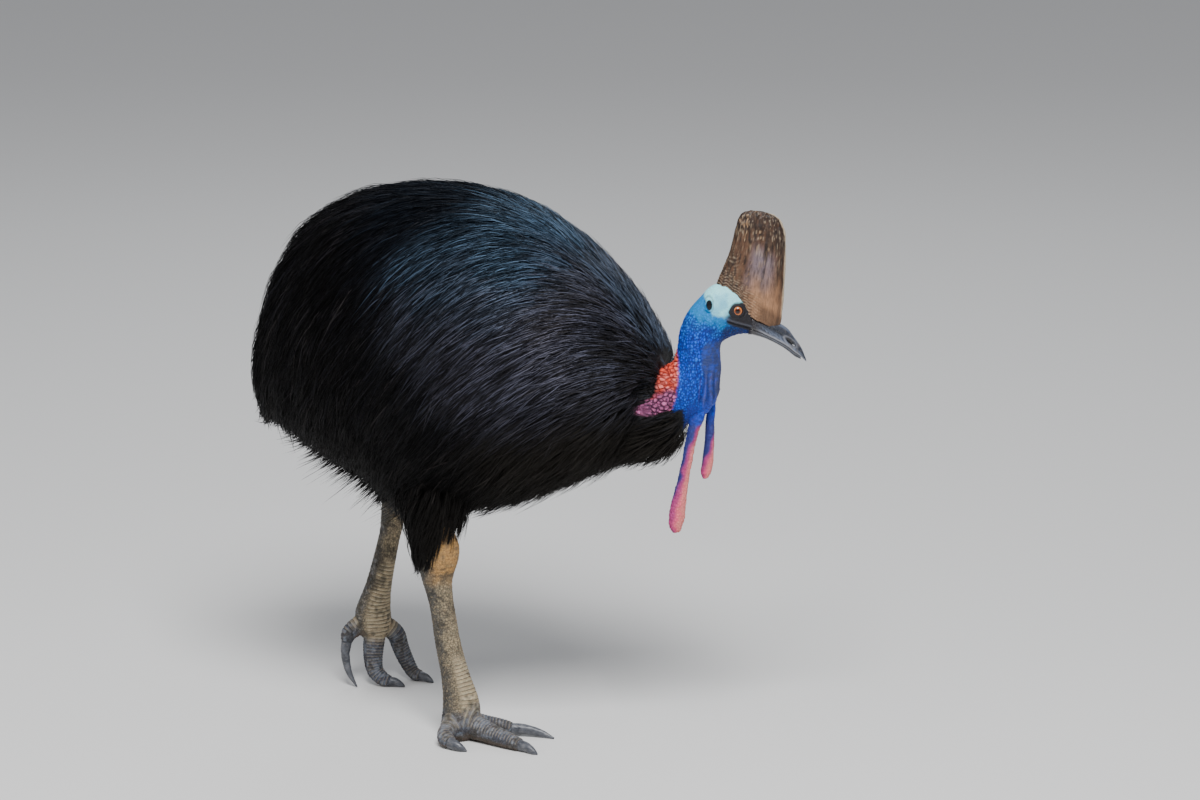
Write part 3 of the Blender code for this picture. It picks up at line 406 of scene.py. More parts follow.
def turned_out(piece):
    """The same piece with all its faces turned outward."""
    bm = bmesh.new()
    bm.from_mesh(piece.data)
    bmesh.ops.recalc_face_normals(bm, faces=bm.faces)
    bm.to_mesh(piece.data)
    bm.free()
    return piece


def lofted(name, rings):
    """A closed object through rings, turned outward."""
    return turned_out(shape(name, *tube(rings)))


def worked(piece, kind, **settings):
    """The piece's mesh as a modifier leaves it."""
    step = piece.modifiers.new(kind.lower(), kind)
    for key, value in settings.items():
        setattr(step, key, value)
    mesh = bpy.data.meshes.new_from_object(piece.evaluated_get(bpy.context.evaluated_depsgraph_get()))
    piece.modifiers.clear()
    old, piece.data = piece.data, mesh
    bpy.data.meshes.remove(old)
    return piece


def fused(piece, others, operation="UNION"):
    """The piece joined with others, or cut by them, as one closed surface."""
    tools = bpy.data.collections.new("tools")
    bpy.context.scene.collection.children.link(tools)
    for other in others:
        tools.objects.link(other)
    worked(piece, "BOOLEAN", operation=operation, operand_type="COLLECTION", collection=tools,
           solver="MANIFOLD")
    for other in others:
        bpy.data.objects.remove(other, do_unlink=True)
    bpy.data.collections.remove(tools)
    return piece


def points_of(piece):
    """A piece's points in the bird's own frame."""
    flat = np.empty(3 * len(piece.data.vertices), np.float32)
    piece.data.vertices.foreach_get("co", flat)
    return flat.reshape(-1, 3).astype(float) - BIRD_ORIGIN


def press(piece, heights):
    """Move each point of a piece out by its height."""
    flat = np.empty(3 * len(piece.data.vertices), np.float32)
    piece.data.vertices.foreach_get("normal", flat)
    set_points(piece.data, points_of(piece) + flat.reshape(-1, 3) * heights[:, None])
    piece.data.update()


def stand(piece):
    """Lift what reaches below the floor to just above it."""
    points = points_of(piece)
    points[:, 2] = np.maximum(points[:, 2], FLOOR_GAP)
    set_points(piece.data, points)


def dice(cells, seed):
    """A number from 0 to 1 for each whole-numbered place, the same on every run."""
    x, y, z = (cells[..., i].astype(np.int64) for i in range(3))
    h = (x * 374761393 + y * 668265263 + z * 2246822519 + seed * 3266489917) & 0xFFFFFFFF
    h = ((h ^ (h >> 15)) * 2246822519) & 0xFFFFFFFF
    h = ((h ^ (h >> 13)) * 3266489917) & 0xFFFFFFFF
    return ((h ^ (h >> 16)) & 0xFFFFFF) / 0x1000000


def clouds(points, size, seed=0):
    """Soft noise from 0 to 1, with lumps of that size (one number, or one for each axis)."""
    places = points / np.asarray(size)
    low = np.floor(places)
    part = places - low
    part = part * part * (3 - 2 * part)
    total = np.zeros(len(points))
    for corner in np.ndindex(2, 2, 2):
        weight = np.prod(np.where(corner, part, 1 - part), axis=1)
        total += weight * dice(low + corner, seed)
    return total


def pebbles(points, size, seed=0):
    """How much nearer the nearest of scattered seeds is than the next, in spacings, and its own dice."""
    places = points / np.asarray(size)
    home = np.floor(places)
    first = np.full(len(points), 9.0)
    second = first.copy()
    own = np.zeros(len(points))
    for step in np.ndindex(3, 3, 3):
        cell = home + step - 1.0
        seeds = cell + np.stack([dice(cell, seed + i) for i in range(3)], -1)
        far = np.linalg.norm(places - seeds, axis=1)
        nearer = far < first
        second = np.where(nearer, first, np.minimum(second, far))
        own = np.where(nearer, dice(cell, seed + 7), own)
        first = np.where(nearer, far, first)
    return second - first, own


def ramp(value, low, high):
    """A smooth rise from 0 at low to 1 at high, which may be the lower of the two."""
    share = np.clip((value - low) / (high - low), 0.0, 1.0)
    return share * share * (3 - 2 * share)


def ridge(value, middle, width):
    """A soft ridge, 1 at its middle and 0 a few widths away."""
    return np.exp(-((value - middle) / width) ** 2)


def head_point(ahead, up, side=0.0):
    """Points of the head's own frame in the bird's."""
    ahead, up, side = (np.asarray(a, float)[..., None] for a in np.broadcast_arrays(ahead, up, side))
    return NECK_TOP + ahead * FORWARD + side * LEFTWARD + up * UPWARD


def head_frame(points):
    """Ahead, up and side of points in the head's own frame."""
    away = points - NECK_TOP
    return away @ FORWARD, away[:, 2], away @ LEFTWARD


def neck_ring(back_ahead, back_up, throat_ahead, throat_up, half_width, turn, sides=NECK_SIDES):
    """A section of the neck or head between its back and throat lines, turned part of the way."""
    ahead = (back_ahead + throat_ahead) / 2
    y = ahead * math.sin(HEAD_YAW) * turn
    x = (ahead - y * math.sin(HEAD_YAW)) / math.cos(HEAD_YAW)
    yaw = HEAD_YAW * turn
    reach = (back_ahead - throat_ahead) / 2 / math.cos(HEAD_YAW - yaw)
    middle = NECK_TOP + (x, y, (back_up + throat_up) / 2)
    upward = np.array((reach * math.cos(yaw), reach * math.sin(yaw), (back_up - throat_up) / 2))
    across = np.array((-math.sin(yaw), math.cos(yaw), 0.0)) * half_width
    return oval(middle, across, upward, sides)


def plumage_rings(rows, inset, sides):
    """Upright sections of the plumage, or with an inset of 1 of the hide under it."""
    rings = []
    for x, top, bottom, half_width in rows:
        depth = np.interp(x, *COAT_DEPTH) * inset
        rearward = max(min((REAR_FROM - x) / REAR_LENGTH, 1.0), 0.0)
        middle = (x + depth * rearward, 0.0, (top + bottom) / 2)
        rings.append(oval(middle, np.array((0.0, half_width - depth, 0.0)),
                          np.array((0.0, 0.0, (top - bottom) / 2 - depth)), sides, FULLNESS))
    return rings


def leg_rings(rows, heading, sides):
    """Level sections of a leg."""
    forward = np.array((math.cos(heading), math.sin(heading), 0.0)) / 2
    across = np.array((-math.sin(heading), math.cos(heading), 0.0)) / 2
    return [oval((x, y, z), forward * depth, across * width, sides) for x, y, z, depth, width in rows]


def path_rings(rows, sides):
    """Sections square to a path of middles, heights and widths, none of them below the floor."""
    rings = []
    for i, (*middle, height, width) in enumerate(rows):
        along = rows[min(i + 1, len(rows) - 1), :3] - rows[max(i - 1, 0), :3]
        across = np.cross(UPWARD, along / np.linalg.norm(along))
        across /= np.linalg.norm(across)
        upward = np.cross(along / np.linalg.norm(along), across)
        ring = oval(middle, across * width / 2, upward * height / 2, sides)
        ring[:, 2] = np.maximum(ring[:, 2], 0.0)
        rings.append(ring)
    return rings


def head_ring(at, size, side):
    """An oval ring that lies against the side of the head."""
    segments, sides = 40, 10
    turn = np.arange(segments) * math.tau / segments
    roll = np.arange(sides) * math.tau / sides
    bulge = size[2] * np.cos(roll)[None, :]
    ahead = at[0] + (size[0] + bulge) * np.cos(turn)[:, None]
    up = at[1] + (size[1] + bulge) * np.sin(turn)[:, None]
    out = np.broadcast_to(side * (at[2] + size[2] * np.sin(roll)[None, :]), ahead.shape)
    points = head_point(ahead, up, out).reshape(-1, 3)
    return turned_out(shape("ring", points, woven(segments, sides, segments)))


def head_egg(at, size, side):
    """An egg-shaped tool in the head's frame: half length, half height and half breadth."""
    pole = 0.06
    rows = np.linspace(pole, math.pi - pole, 14)
    rings = [oval(head_point(at[0] + size[0] * math.cos(r), at[1], side * at[2]),
                  LEFTWARD * size[2] * math.sin(r), UPWARD * size[1] * math.sin(r), 20) for r in rows]
    return lofted("egg", rings)


# The bare neck and the head, with lids, ears and wattles, on a fine grid.
neck_rows = fine(NECK[BARE_FROM:], 6)
bare = lofted("skin", [neck_ring(*row) for row in neck_rows])
parts = []
for side in (-1, 1):
    parts.append(head_ring((*EYE_AT[:2], LID_AT), LID_SIZE, side))
    parts.append(head_ring((*EAR_AT[:2], EAR_RIM_AT), EAR_RIM, side))
for name, side in (("right", -1), ("left", 1)):
    rings = []
    for ahead, up, half_width, half_thickness in fine(WATTLES[name], 6):
        middle = head_point(ahead, up, side * WATTLE_SPREAD)
        rings.append(oval(middle, FORWARD * half_width, LEFTWARD * half_thickness, 24))
    parts.append(lofted("wattle", rings))
fused(bare, parts)
fused(bare, [head_egg(EAR_AT, EAR_SIZE, side) for side in (-1, 1)], "DIFFERENCE")
worked(bare, "REMESH", mode="VOXEL", voxel_size=NECK_GRID)
worked(bare, "SMOOTH", factor=0.5, iterations=3)


def from_line(line, x, y):
    """Distance of points from a line of joined stretches in a plane."""
    best = np.full(len(x), 9.0)
    for (ax, ay), (bx, by) in zip(line, line[1:]):
        dx, dy = bx - ax, by - ay
        share = np.clip(((x - ax) * dx + (y - ay) * dy) / (dx * dx + dy * dy), 0.0, 1.0)
        best = np.minimum(best, np.hypot(x - ax - dx * share, y - ay - dy * share))
    return best


def head_regions(points):
    """How far each point belongs to the regions of the head and neck, from 0 to 1, by name."""
    ahead, up, side = head_frame(points)
    beside = np.abs(side)
    wobble = (clouds(points, 0.009, 3) - 0.5) * 0.010 + (clouds(points, 0.004, 4) - 0.5) * 0.004
    around_eye = np.hypot((ahead - EYE_AT[0]) / 1.25, up - EYE_AT[1]) + wobble / 2
    in_ear = np.hypot((ahead - EAR_AT[0]) / EAR_SIZE[0], (up - EAR_AT[1]) / EAR_SIZE[1])
    round_ear = np.hypot((ahead - EAR_AT[0]) / 0.0078, (up - EAR_AT[1]) / 0.0135)
    lores = ramp(ahead - np.interp(up, *LORE_REAR) + wobble, -0.006, 0.006)
    lores *= ramp(up - np.interp(ahead, *LORE_EDGE) + wobble / 3, 0.003, -0.003)
    lores *= ramp(up - np.interp(ahead, *zip(*GAPE)), -0.007, -0.002)
    gape_fold = ridge(from_line(GAPE, ahead, up - 0.0042), 0.0, 0.0018)
    throat = ramp(ahead - np.interp(up, *THROAT_REAR) + wobble / 2, -0.003, 0.003)
    jaw = ramp(ahead - 0.030, 0.0, 0.012) * ramp(up - np.interp(ahead, *JAW_EDGE), 0.004, -0.006)
    frontal = np.zeros(len(points))
    for name, sign in (("right", -1), ("left", 1)):
        rows = np.array(WATTLES[name])
        middle, half_width = (np.interp(-up, -rows[:, 1], rows[:, i]) for i in (0, 2))
        frontal = np.where(side * sign > 0, (ahead - middle) / half_width, frontal)
    x, _, z = points.T
    nape = ramp(x - np.interp(z, *NAPE_FRONT) + wobble / 2, 0.004, -0.004)
    nape *= ramp(z, *NAPE_HIGH) * ramp(z, *NAPE_LOW)
    wattle = np.maximum(ramp(up, *WATTLE_FROM) * ramp(frontal, -1.9, -1.35), ramp(up, *WATTLE_ALONE))
    under_mantle = ramp(x - np.interp(z, *MANTLE_EDGE), -0.004, -0.014)
    under_collar = ramp(z - np.interp(x, *COLLAR_EDGE), -0.002, -0.010) * ramp(x, 0.432, 0.420)
    regions = {
        "pale": ramp(up - np.interp(ahead, *PALE_EDGE) + wobble * 1.3, -0.008, 0.008),
        "turquoise": ramp(up - np.interp(ahead, *TURQUOISE_EDGE) + wobble, -0.010, 0.010),
        "lores": np.maximum(lores, ramp(around_eye, 0.0136, 0.0116)),
        "throat": throat * ramp(up, 0.000, -0.020),
        "jaw": jaw * ramp(up, -0.030, -0.010),
        "ear": ramp(in_ear, 1.20, 0.95) * ramp(beside, 0.0, 0.010),
        "ear_rim": ridge(round_ear, 1.0, 0.14) * ramp(up, 0.054, 0.062) * ramp(beside, 0.0, 0.010),
        "gape": ramp(from_line(GAPE, ahead, up), 0.0016, 0.0006) * ramp(beside, 0.004, 0.010),
        "gape_fold": gape_fold * ramp(beside, 0.004, 0.010),
        "frontal": np.clip(frontal, -1.0, 1.0),
        "wattle": wattle,
        "nape": nape,
        "nape_low": nape * ramp(z + wobble + (0.40 - x) * 0.3, 0.652, 0.636),
        # painted shade: near black where the mantle and the collar cover the neck, for the dark between their
        # feathers
        "covered": (1 - wattle) * np.maximum(under_mantle, under_collar),
    }
    return regions, ahead, up, side


def pleats(points, ahead, up):
    """Upright folds down the front of the throat, from -1 to 1, and where they show."""
    drift = clouds(points, (0.012, 0.012, 0.030), 9) * 5.0
    wave = np.sin((ahead - up * 0.08) / PLEAT_PITCH * math.pi + drift)
    return wave, ramp(up, -0.040, -0.090) * ramp(ahead, -0.014, 0.004) * ramp(up, -0.165, -0.135)


def throat_creases(points, up):
    """Fine level creases of the throat, from -1 to 1."""
    return np.sin(up / CREASE_PITCH * math.pi + clouds(points, (0.010, 0.010, 0.006), 5) * 9.0)


def grain_head(points):
    """How high each point of the head and neck stands, in metres: warts, wrinkles and folds."""
    regions, ahead, up, _ = head_regions(points)
    warts = ramp(pebbles(points, WART_SIZE, 11)[0], 0.0, 0.45)
    beads = ramp(pebbles(points, BEAD_SIZE, 21)[0], 0.0, 0.40)
    folds = np.sin(ahead / FOLD_PITCH * math.pi + clouds(points, 0.010, 5) * 3.0 + up * 60)
    pleat, pleated = pleats(points, ahead, up)
    around_eye = np.hypot((ahead - EYE_AT[0]) / 1.15, up - EYE_AT[1])
    lid_folds = np.sin(around_eye / LID_PITCH * math.pi) * ramp(around_eye, 0.019, 0.0145)
    lid_folds *= ramp(around_eye, 0.0118, 0.0128)
    bare_neck = (1 - regions["pale"]) * (1 - regions["lores"]) * ramp(up, 0.045, 0.020)
    bare_neck *= 1 - regions["throat"]
    only_turquoise = regions["turquoise"] * (1 - regions["pale"])
    height = bare_neck * ((warts - 0.5) * HEAD_GRAIN["wart"] + folds * HEAD_GRAIN["neck_fold"])
    height += regions["throat"] * throat_creases(points, up) * 0.5 * HEAD_GRAIN["crease"]
    height += pleat * pleated * HEAD_GRAIN["pleat"]
    height += regions["nape"] * (beads - 0.5) * HEAD_GRAIN["bead"]
    height -= regions["nape"] * (warts - 0.5) * HEAD_GRAIN["bead_wart"]
    height += regions["pale"] * (clouds(points, (0.0022, 0.0022, 0.0080), 6) - 0.5) * HEAD_GRAIN["pale"]
    height += only_turquoise * (warts - 0.5) * HEAD_GRAIN["turquoise_wart"]
    height += lid_folds * HEAD_GRAIN["lid_fold"]
    wrinkles = clouds(points, (0.0026, 0.0026, 0.0100), 8) - 0.5
    height += regions["wattle"] * wrinkles * HEAD_GRAIN["wattle"]
    return height + (regions["gape_fold"] - regions["gape"]) * HEAD_GRAIN["gape"]


press(bare, grain_head(points_of(bare)))


def unit(vectors):
    """Vectors made one long."""
    return vectors / np.maximum(np.linalg.norm(vectors, axis=-1, keepdims=True), 1e-9)


def nearest_on(points, path):
    """For points near a path: length along it to the nearest place, that place, and the distance."""
    best = np.full(len(points), 9.0)
    length = np.zeros(len(points))
    foot = np.zeros_like(points)
    done = 0.0
    for a, b in zip(path, path[1:]):
        step = b - a
        size = np.linalg.norm(step)
        share = np.clip((points - a) @ step / size ** 2, 0.0, 1.0)
        place = a + share[:, None] * step
        far = np.linalg.norm(points - place, axis=1)
        nearer = far < best
        best = np.where(nearer, far, best)
        length = np.where(nearer, done + share * size, length)
        foot = np.where(nearer[:, None], place, foot)
        done += size
    return length, foot, best


SCUTE_PITCH, TOE_SCUTE_PITCH = 0.0068, 0.0060  # of the plates on the shanks and on the toes
SCALE_SIZE, ANKLE_PITCH = 0.0042, 0.0042  # of the pebbles elsewhere, and half a wave of the ankles' creases
PEBBLE_HEIGHT, PLATE_HEIGHT, ANKLE_HEIGHT = 0.0011, 0.0016, 0.00025
ANKLE_FROM = {"right": (0.278, 0.304), "left": (0.365, 0.395)}  # z over which its tan and creases begin


def leg_regions(points, side):
    """On one leg: plates across the shank's front and the toes' tops, their edges, and the soles."""
    heading = HEADINGS[side]
    forward = np.array((math.cos(heading), math.sin(heading), 0.0))
    z = points[:, 2]
    shank = np.array(SHANKS[side])[:, :3]
    length, foot, far = nearest_on(points, shank)
    away = points - foot
    front = (away @ forward) / np.maximum(np.linalg.norm(away[:, :2], axis=1), 1e-6)
    low = shank[-3, 2]
    scuted = ramp(front, 0.45, 0.75) * ramp(z, low + 0.115, low + 0.085)
    wave = length / SCUTE_PITCH + clouds(points, 0.03, 31) * 0.8
    on_toe = np.zeros(len(points))
    sole = np.zeros(len(points))
    nearest = far - 0.010
    for which in ("middle", "inner", "outer"):
        rows = fine(TOES[f"{which}_{side}"], 4)
        length, foot, far = nearest_on(points, rows[:, :3])
        far = far - np.interp(length, np.linspace(0, length.max(), len(rows)), rows[:, 3]) / 2
        mine = (far < nearest) & (length > 0.012)
        nearest = np.where(mine, far, nearest)
        away = unit(points - foot)
        steep = which != "inner" and side == "left"
        top = np.maximum(away[:, 2], away @ forward) if steep else away[:, 2]
        on_toe = np.where(mine, ramp(length + (z < 0.03) * 0.02, 0.010, 0.034), on_toe)
        scuted = np.where(mine, ramp(top, 0.05, 0.45), scuted)
        wave = np.where(mine, length / TOE_SCUTE_PITCH, wave)
        sole = np.where(mine, ramp(top, -0.15, -0.55), sole)
    if side == "right":
        uneven = (clouds(points, 0.010, 32) - 0.5) * 0.02
        on_toe = np.maximum(on_toe, 0.8 * ramp(z + uneven, 0.068, 0.044))
    return {"front": front, "scuted": scuted, "wave": wave, "toe": on_toe, "sole": sole}


def ankle_creases(points):
    """Level creases round the ankle, from -1 to 1."""
    return np.sin(points[:, 2] / ANKLE_PITCH * math.pi + clouds(points, 0.012, 42) * 6)


def grain_leg(points, side):
    """How high each point of a leg stands, in metres: plates at the front, pebbles elsewhere."""
    regions = leg_regions(points, side)
    pebble = ramp(pebbles(points, SCALE_SIZE, 41)[0], 0.0, 0.5)
    saw = regions["wave"] % 1.0
    plate = ramp(saw, 0.0, 0.22) * ramp(saw, 1.0, 0.80) + 0.2 * saw
    high = points[:, 2] > ANKLE_FROM[side][0]
    height = (1 - regions["scuted"]) * (pebble - 0.6) * PEBBLE_HEIGHT * np.where(high, 0.4, 1.0)
    height += regions["scuted"] * (plate - 0.7) * PLATE_HEIGHT
    return height + high * ankle_creases(points) * ANKLE_HEIGHT


legs = []
for side in ("right", "left"):
    shank = lofted("leg", leg_rings(fine(SHANKS[side], 6), HEADINGS[side], 56))
    toes = [lofted("toe", path_rings(fine(TOES[f"{which}_{side}"], 5), 32))
            for which in ("middle", "inner", "outer")]
    fused(shank, toes)
    worked(shank, "REMESH", mode="VOXEL", voxel_size=LEG_GRID)
    worked(shank, "SMOOTH", factor=0.5, iterations=5)
    press(shank, grain_leg(points_of(shank), side))
    stand(shank)
    rows = np.array(THIGHS[side][:4]) * (1, 1, 1, THIGH_CORE, THIGH_CORE)
    legs.append(fused(shank, [lofted("thigh", leg_rings(fine(rows, 3), HEADINGS[side], 32))]))

body = lofted("body", plumage_rings(fine((*PLUMAGE[:-3], *HIDE_FRONT), 3), inset=1.0, sides=56))
low_neck = lofted("low neck", [neck_ring(*row, sides=48) for row in fine(NECK[:BARE_FROM + 2], 3)])
skin = fused(bare, [body, low_neck, *legs])
skin.data.shade_smooth()


def paints(**mixes):
    """Paints by name, each mixed by its screen values, as light that the surface gives back."""
    shares = {name: np.array(mix) / 255 for name, mix in mixes.items()}
    return {name: np.where(share > 0.04045, ((share + 0.055) / 1.055) ** 2.4, share / 12.92)
            for name, share in shares.items()}


SKIN_COLOURS = paints(
    blue=(2, 84, 236), blue_light=(34, 138, 250), blue_deep=(2, 26, 104), turquoise=(0, 128, 190),
    pale=(170, 250, 255), throat=(52, 66, 118), azure=(0, 138, 240), fold=(132, 100, 150),
    jaw=(14, 28, 76), lores=(36, 34, 38), ear=(6, 10, 18), gape=(84, 86, 96), red=(255, 92, 64),
    red_deep=(84, 6, 14), pink=(222, 124, 176), plum=(44, 8, 40), bulb=(255, 96, 134),
    mauve=(184, 68, 130), bulb_warm=(255, 146, 138), veil=(62, 72, 148), hidden=(8, 8, 9))
LEG_COLOURS = paints(
    grey=(102, 97, 88), dark=(38, 36, 34), tan=(190, 170, 134), pale=(220, 206, 176),
    blue_grey=(72, 76, 90), sole=(96, 84, 72), silver=(140, 152, 168), ankle=(208, 154, 82))


def layered(tones, count, base, *layers):
    """Colours at so many points: a base tone under layers of tones or colours, each with its shares."""
    colour = np.tile(tones[base], (count, 1))
    for layer, share in layers:
        layer = tones[layer] if isinstance(layer, str) else layer
        colour = colour + (layer - colour) * share[:, None]
    return colour


def paint_head(points):
    """The colour of each point of the head, neck and wattles."""
    regions, ahead, up, side = head_regions(points)
    count = len(points)
    wart, own = pebbles(points, WART_SIZE, 11)
    wart = ramp(wart, 0.05, 0.50)
    bead, own_bead = pebbles(points, BEAD_SIZE, 21)
    bead = ramp(bead, 0.05, 0.38)
    broad = clouds(points, 0.014, 51)
    small = clouds(points, 0.005, 52)
    pleat, pleated = pleats(points, ahead, up)
    pale, turquoise, frontal = regions["pale"], regions["turquoise"], regions["frontal"]
    throat = layered(
        SKIN_COLOURS, count, "throat",
        ("blue_deep", 0.35 * ramp(throat_creases(points, up), 0.2, -1.0)),
        ("blue", 0.35 * ramp(small + broad, 0.8, 1.5)))
    red = layered(
        SKIN_COLOURS, count, "red_deep",
        ("red", 0.15 + 0.85 * bead),
        ("bulb_warm", 0.8 * bead * ramp(own_bead, 0.35, 0.9)))
    pink = layered(
        SKIN_COLOURS, count, "plum",
        ("pink", 0.04 + 0.96 * bead * (0.30 + 0.70 * own_bead)))
    bulb = layered(
        SKIN_COLOURS, count, "bulb",
        ("bulb_warm", ramp(frontal + small, -0.1, 1.2)),
        ("mauve", 0.80 * ramp(frontal + (broad - 0.5) * 0.6, 0.2, -0.7)))
    start, over = (np.where(side < 0, sides["right"], sides["left"]) for sides in (RIPE_FROM, RIPE_OVER))
    ripe = (-up - start) / over + 0.75 * frontal * ramp(up, -0.115, -0.190) + (broad - 0.5) * 0.6
    hanging = layered(
        SKIN_COLOURS, count, "veil",
        ("blue", 0.8 * ramp(up + small * 0.03, -0.160, -0.120)),
        ("blue_deep", np.maximum(0.5 * ramp(own, 0.5, 0.1), 0.55 * ramp(frontal, 0.3, -0.7))),
        ("mauve", ramp(ripe, -0.20, 0.35)),
        (bulb, ramp(ripe, 0.20, 0.90)),
        ("plum", 0.25 * (1 - wart)))
    return layered(
        SKIN_COLOURS, count, "blue",
        ("azure", 0.8 * ramp(up + broad * 0.03, 0.012, 0.034)),
        ("blue_deep", 0.92 * (1 - wart)),
        # lighter blue on the warts' tops: partly their own colour, partly a painted highlight
        ("blue_light", 0.55 * wart * ramp(own * 0.7 + small * 0.6, 0.40, 1.1)),
        ("turquoise", turquoise * (0.80 + 0.20 * small)),
        # the same on the turquoise skin's warts
        ("blue_light", turquoise * (1 - pale) * 0.35 * wart),
        ("pale", pale * (0.86 + 0.14 * small)),
        ("turquoise", pale * 0.42 * ramp(broad, 0.42, 0.80)),
        (throat, regions["throat"]),
        ("blue_deep", 0.7 * pleated * ramp(pleat, 0.0, -0.9)),
        ("fold", 0.20 * pleated * ramp(pleat, 0.6, 1.0) * ramp(broad, 0.35, 0.6)),
        ("jaw", regions["jaw"] * 0.75),
        # painted shade: darker on the ear's rim and near black in its cup
        ("ear", regions["ear_rim"] * 0.45),
        ("ear", regions["ear"]),
        ("lores", regions["lores"]),
        # painted highlight: a lighter grey band on the fold along the top of the mouth
        ("gape", regions["gape_fold"] * 0.7),
        # painted shade: near black in the mouth's line
        ("ear", regions["gape"]),
        (red, regions["nape"]),
        (pink, regions["nape_low"]),
        (hanging, regions["wattle"]),
        # painted shade: near black under the coat
        ("hidden", regions["covered"]))


def paint_leg(points, side):
    """The colour of each point of a leg."""
    regions = leg_regions(points, side)
    count = len(points)
    pebble, own = pebbles(points, SCALE_SIZE, 41)
    pebble = ramp(pebble, 0.02, 0.35)
    broad = clouds(points, 0.020, 61)
    small = clouds(points, 0.006, 62)
    height = points[:, 2]
    toe, front, scuted = regions["toe"], regions["front"], regions["scuted"]
    bluish = toe * (0.60 + 0.4 * broad)
    saw = regions["wave"] % 1.0
    plate = layered(
        LEG_COLOURS, count, "grey",
        ("tan", (0.45 + 0.45 * small) * (1 - 0.6 * toe)),
        ("blue_grey", bluish),
        ("pale", ramp(saw, 0.50, 0.74) * (0.7 - 0.40 * toe) * (0.4 + 0.6 * own)),
        ("dark", np.maximum(ramp(saw, 0.20, 0.0), ramp(saw, 0.86, 1.0)) * 0.9))
    # painted sheen: a silvery sky reflection on the toes, and on the rear half of the left shank
    silver = toe if side == "right" else np.maximum(toe, 0.7 * ramp(front, 0.6, 0.0))
    tanned = ramp(height + (broad - 0.5) * 0.02, *ANKLE_FROM[side])
    tanned *= ramp(front + (broad - 0.5) * 1.1, -0.1, 0.6)
    creased = ramp(height, *ANKLE_FROM[side]) * ramp(ankle_creases(points), -0.5, -1.0)
    return layered(
        LEG_COLOURS, count, "grey",
        ("tan", 0.75 * ramp(front + (broad - 0.5) * 0.8, -0.1, 0.8) * (0.6 + 0.4 * own)),
        ("tan", 0.35 * ramp(own, 0.5, 0.95)),
        ("blue_grey", bluish),
        ("dark", (1 - pebble) * 0.75 * (1 - scuted)),
        (plate, scuted),
        ("silver", 0.36 * silver * ramp(small * 0.9 + own * 0.5, 0.62, 1.00)),
        ("sole", regions["sole"] * 0.8),
        ("ankle", tanned * (0.40 + 0.60 * small) * (0.55 + 0.45 * pebble)),
        ("dark", 0.30 * creased * ramp(small, 0.35, 0.7)),
        ("dark", 0.55 * ramp(broad + small, 0.95, 0.45)))


def new_material(name, **sockets):
    """A Principled material with these plain values, its node tree and its shader."""
    made = bpy.data.materials.new(name)
    made.use_nodes = True
    shader = made.node_tree.nodes["Principled BSDF"]
    for socket, value in sockets.items():
        shader.inputs[socket.replace("_", " ")].default_value = value
    return made, made.node_tree, shader


def node(tree, kind, inputs=(), **settings):
    """A node of that kind with its settings, its inputs set to values or joined to other nodes."""
    made = tree.nodes.new("ShaderNode" + kind)
    for key, value in settings.items():
        setattr(made, key, value)
    for socket, value in dict(inputs).items():
        if isinstance(value, bpy.types.NodeSocket):
            tree.links.new(value, made.inputs[socket])
        else:
            made.inputs[socket].default_value = value
    return made


def mixed(tree, share, first, second):
    """A colour between two others."""
    return node(tree, "Mix", {0: share, 6: first, 7: second}, data_type="RGBA").outputs[2]


def graded(tree, value, low, high, new_low=0.0, new_high=1.0):
    """A value moved from one range to another, and kept in it."""
    made = node(tree, "MapRange", {0: value, 1: low, 2: high, 3: new_low, 4: new_high})
    return made.outputs[0]


def places(tree, scale=(1.0, 1.0, 1.0)):
    """The surface's own places in space, stretched by a scale."""
    spot = node(tree, "TexCoord").outputs["Object"]
    return node(tree, "Mapping", {"Vector": spot, "Scale": scale}).outputs[0]


def noise(tree, scale, detail=3.0, stretch=(1.0, 1.0, 1.0)):
    """Fine noise of so many lumps to a metre."""
    inputs = {"Vector": places(tree, stretch), "Scale": scale, "Detail": detail, "Roughness": 0.55}
    return node(tree, "TexNoise", inputs).outputs["Fac"]


def cracks(tree, scale):
    """Dark lines between scattered cells, so many to a metre."""
    inputs = {"Vector": places(tree), "Scale": scale}
    return node(tree, "TexVoronoi", inputs, feature="DISTANCE_TO_EDGE").outputs["Distance"]


def painted(tree):
    """The colours that paint() keeps on a piece."""
    return node(tree, "Attribute", attribute_name="paint").outputs["Color"]


def finished(tree, shader, colour, rough, height, depth):
    """Give a shader its colour, its roughness and its bump."""
    bump = node(tree, "Bump", {"Height": height, "Distance": depth, "Strength": 1.0}).outputs[0]
    for output, socket in ((colour, "Base Color"), (rough, "Roughness"), (bump, "Normal")):
        tree.links.new(output, shader.inputs[socket])


def hide_material(name, cell_scale, roughness, depth):
    """Bare skin in its painted colours, with pores and fine creases."""
    made, tree, shader = new_material(
        name, Specular_IOR_Level=0.24, Subsurface_Weight=0.06, Subsurface_Scale=0.004)
    mottle = graded(tree, noise(tree, 520.0, 5.0), 0.32, 0.68)
    lined = graded(tree, cracks(tree, cell_scale), 0.0, 0.16)
    shade = mixed(tree, graded(tree, mottle, 0.0, 1.0, 0.0, 0.14), painted(tree), (0.0, 0.0, 0.0, 1.0))
    shade = mixed(tree, graded(tree, lined, 0.0, 1.0, 0.28, 0.0), shade, (0.01, 0.01, 0.015, 1.0))
    height = node(tree, "Math", {0: lined, 1: mottle}, operation="ADD").outputs[0]
    finished(tree, shader, shade, graded(tree, mottle, 0.0, 1.0, *roughness), height, depth)
    return made


def paint(piece, colours):
    """Keep a colour for each point of a piece."""
    kept = piece.data.color_attributes.new("paint", "FLOAT_COLOR", "POINT")
    opaque = np.hstack((colours, np.ones((len(colours), 1))))
    kept.data.foreach_set("color", opaque.astype(np.float32).ravel())


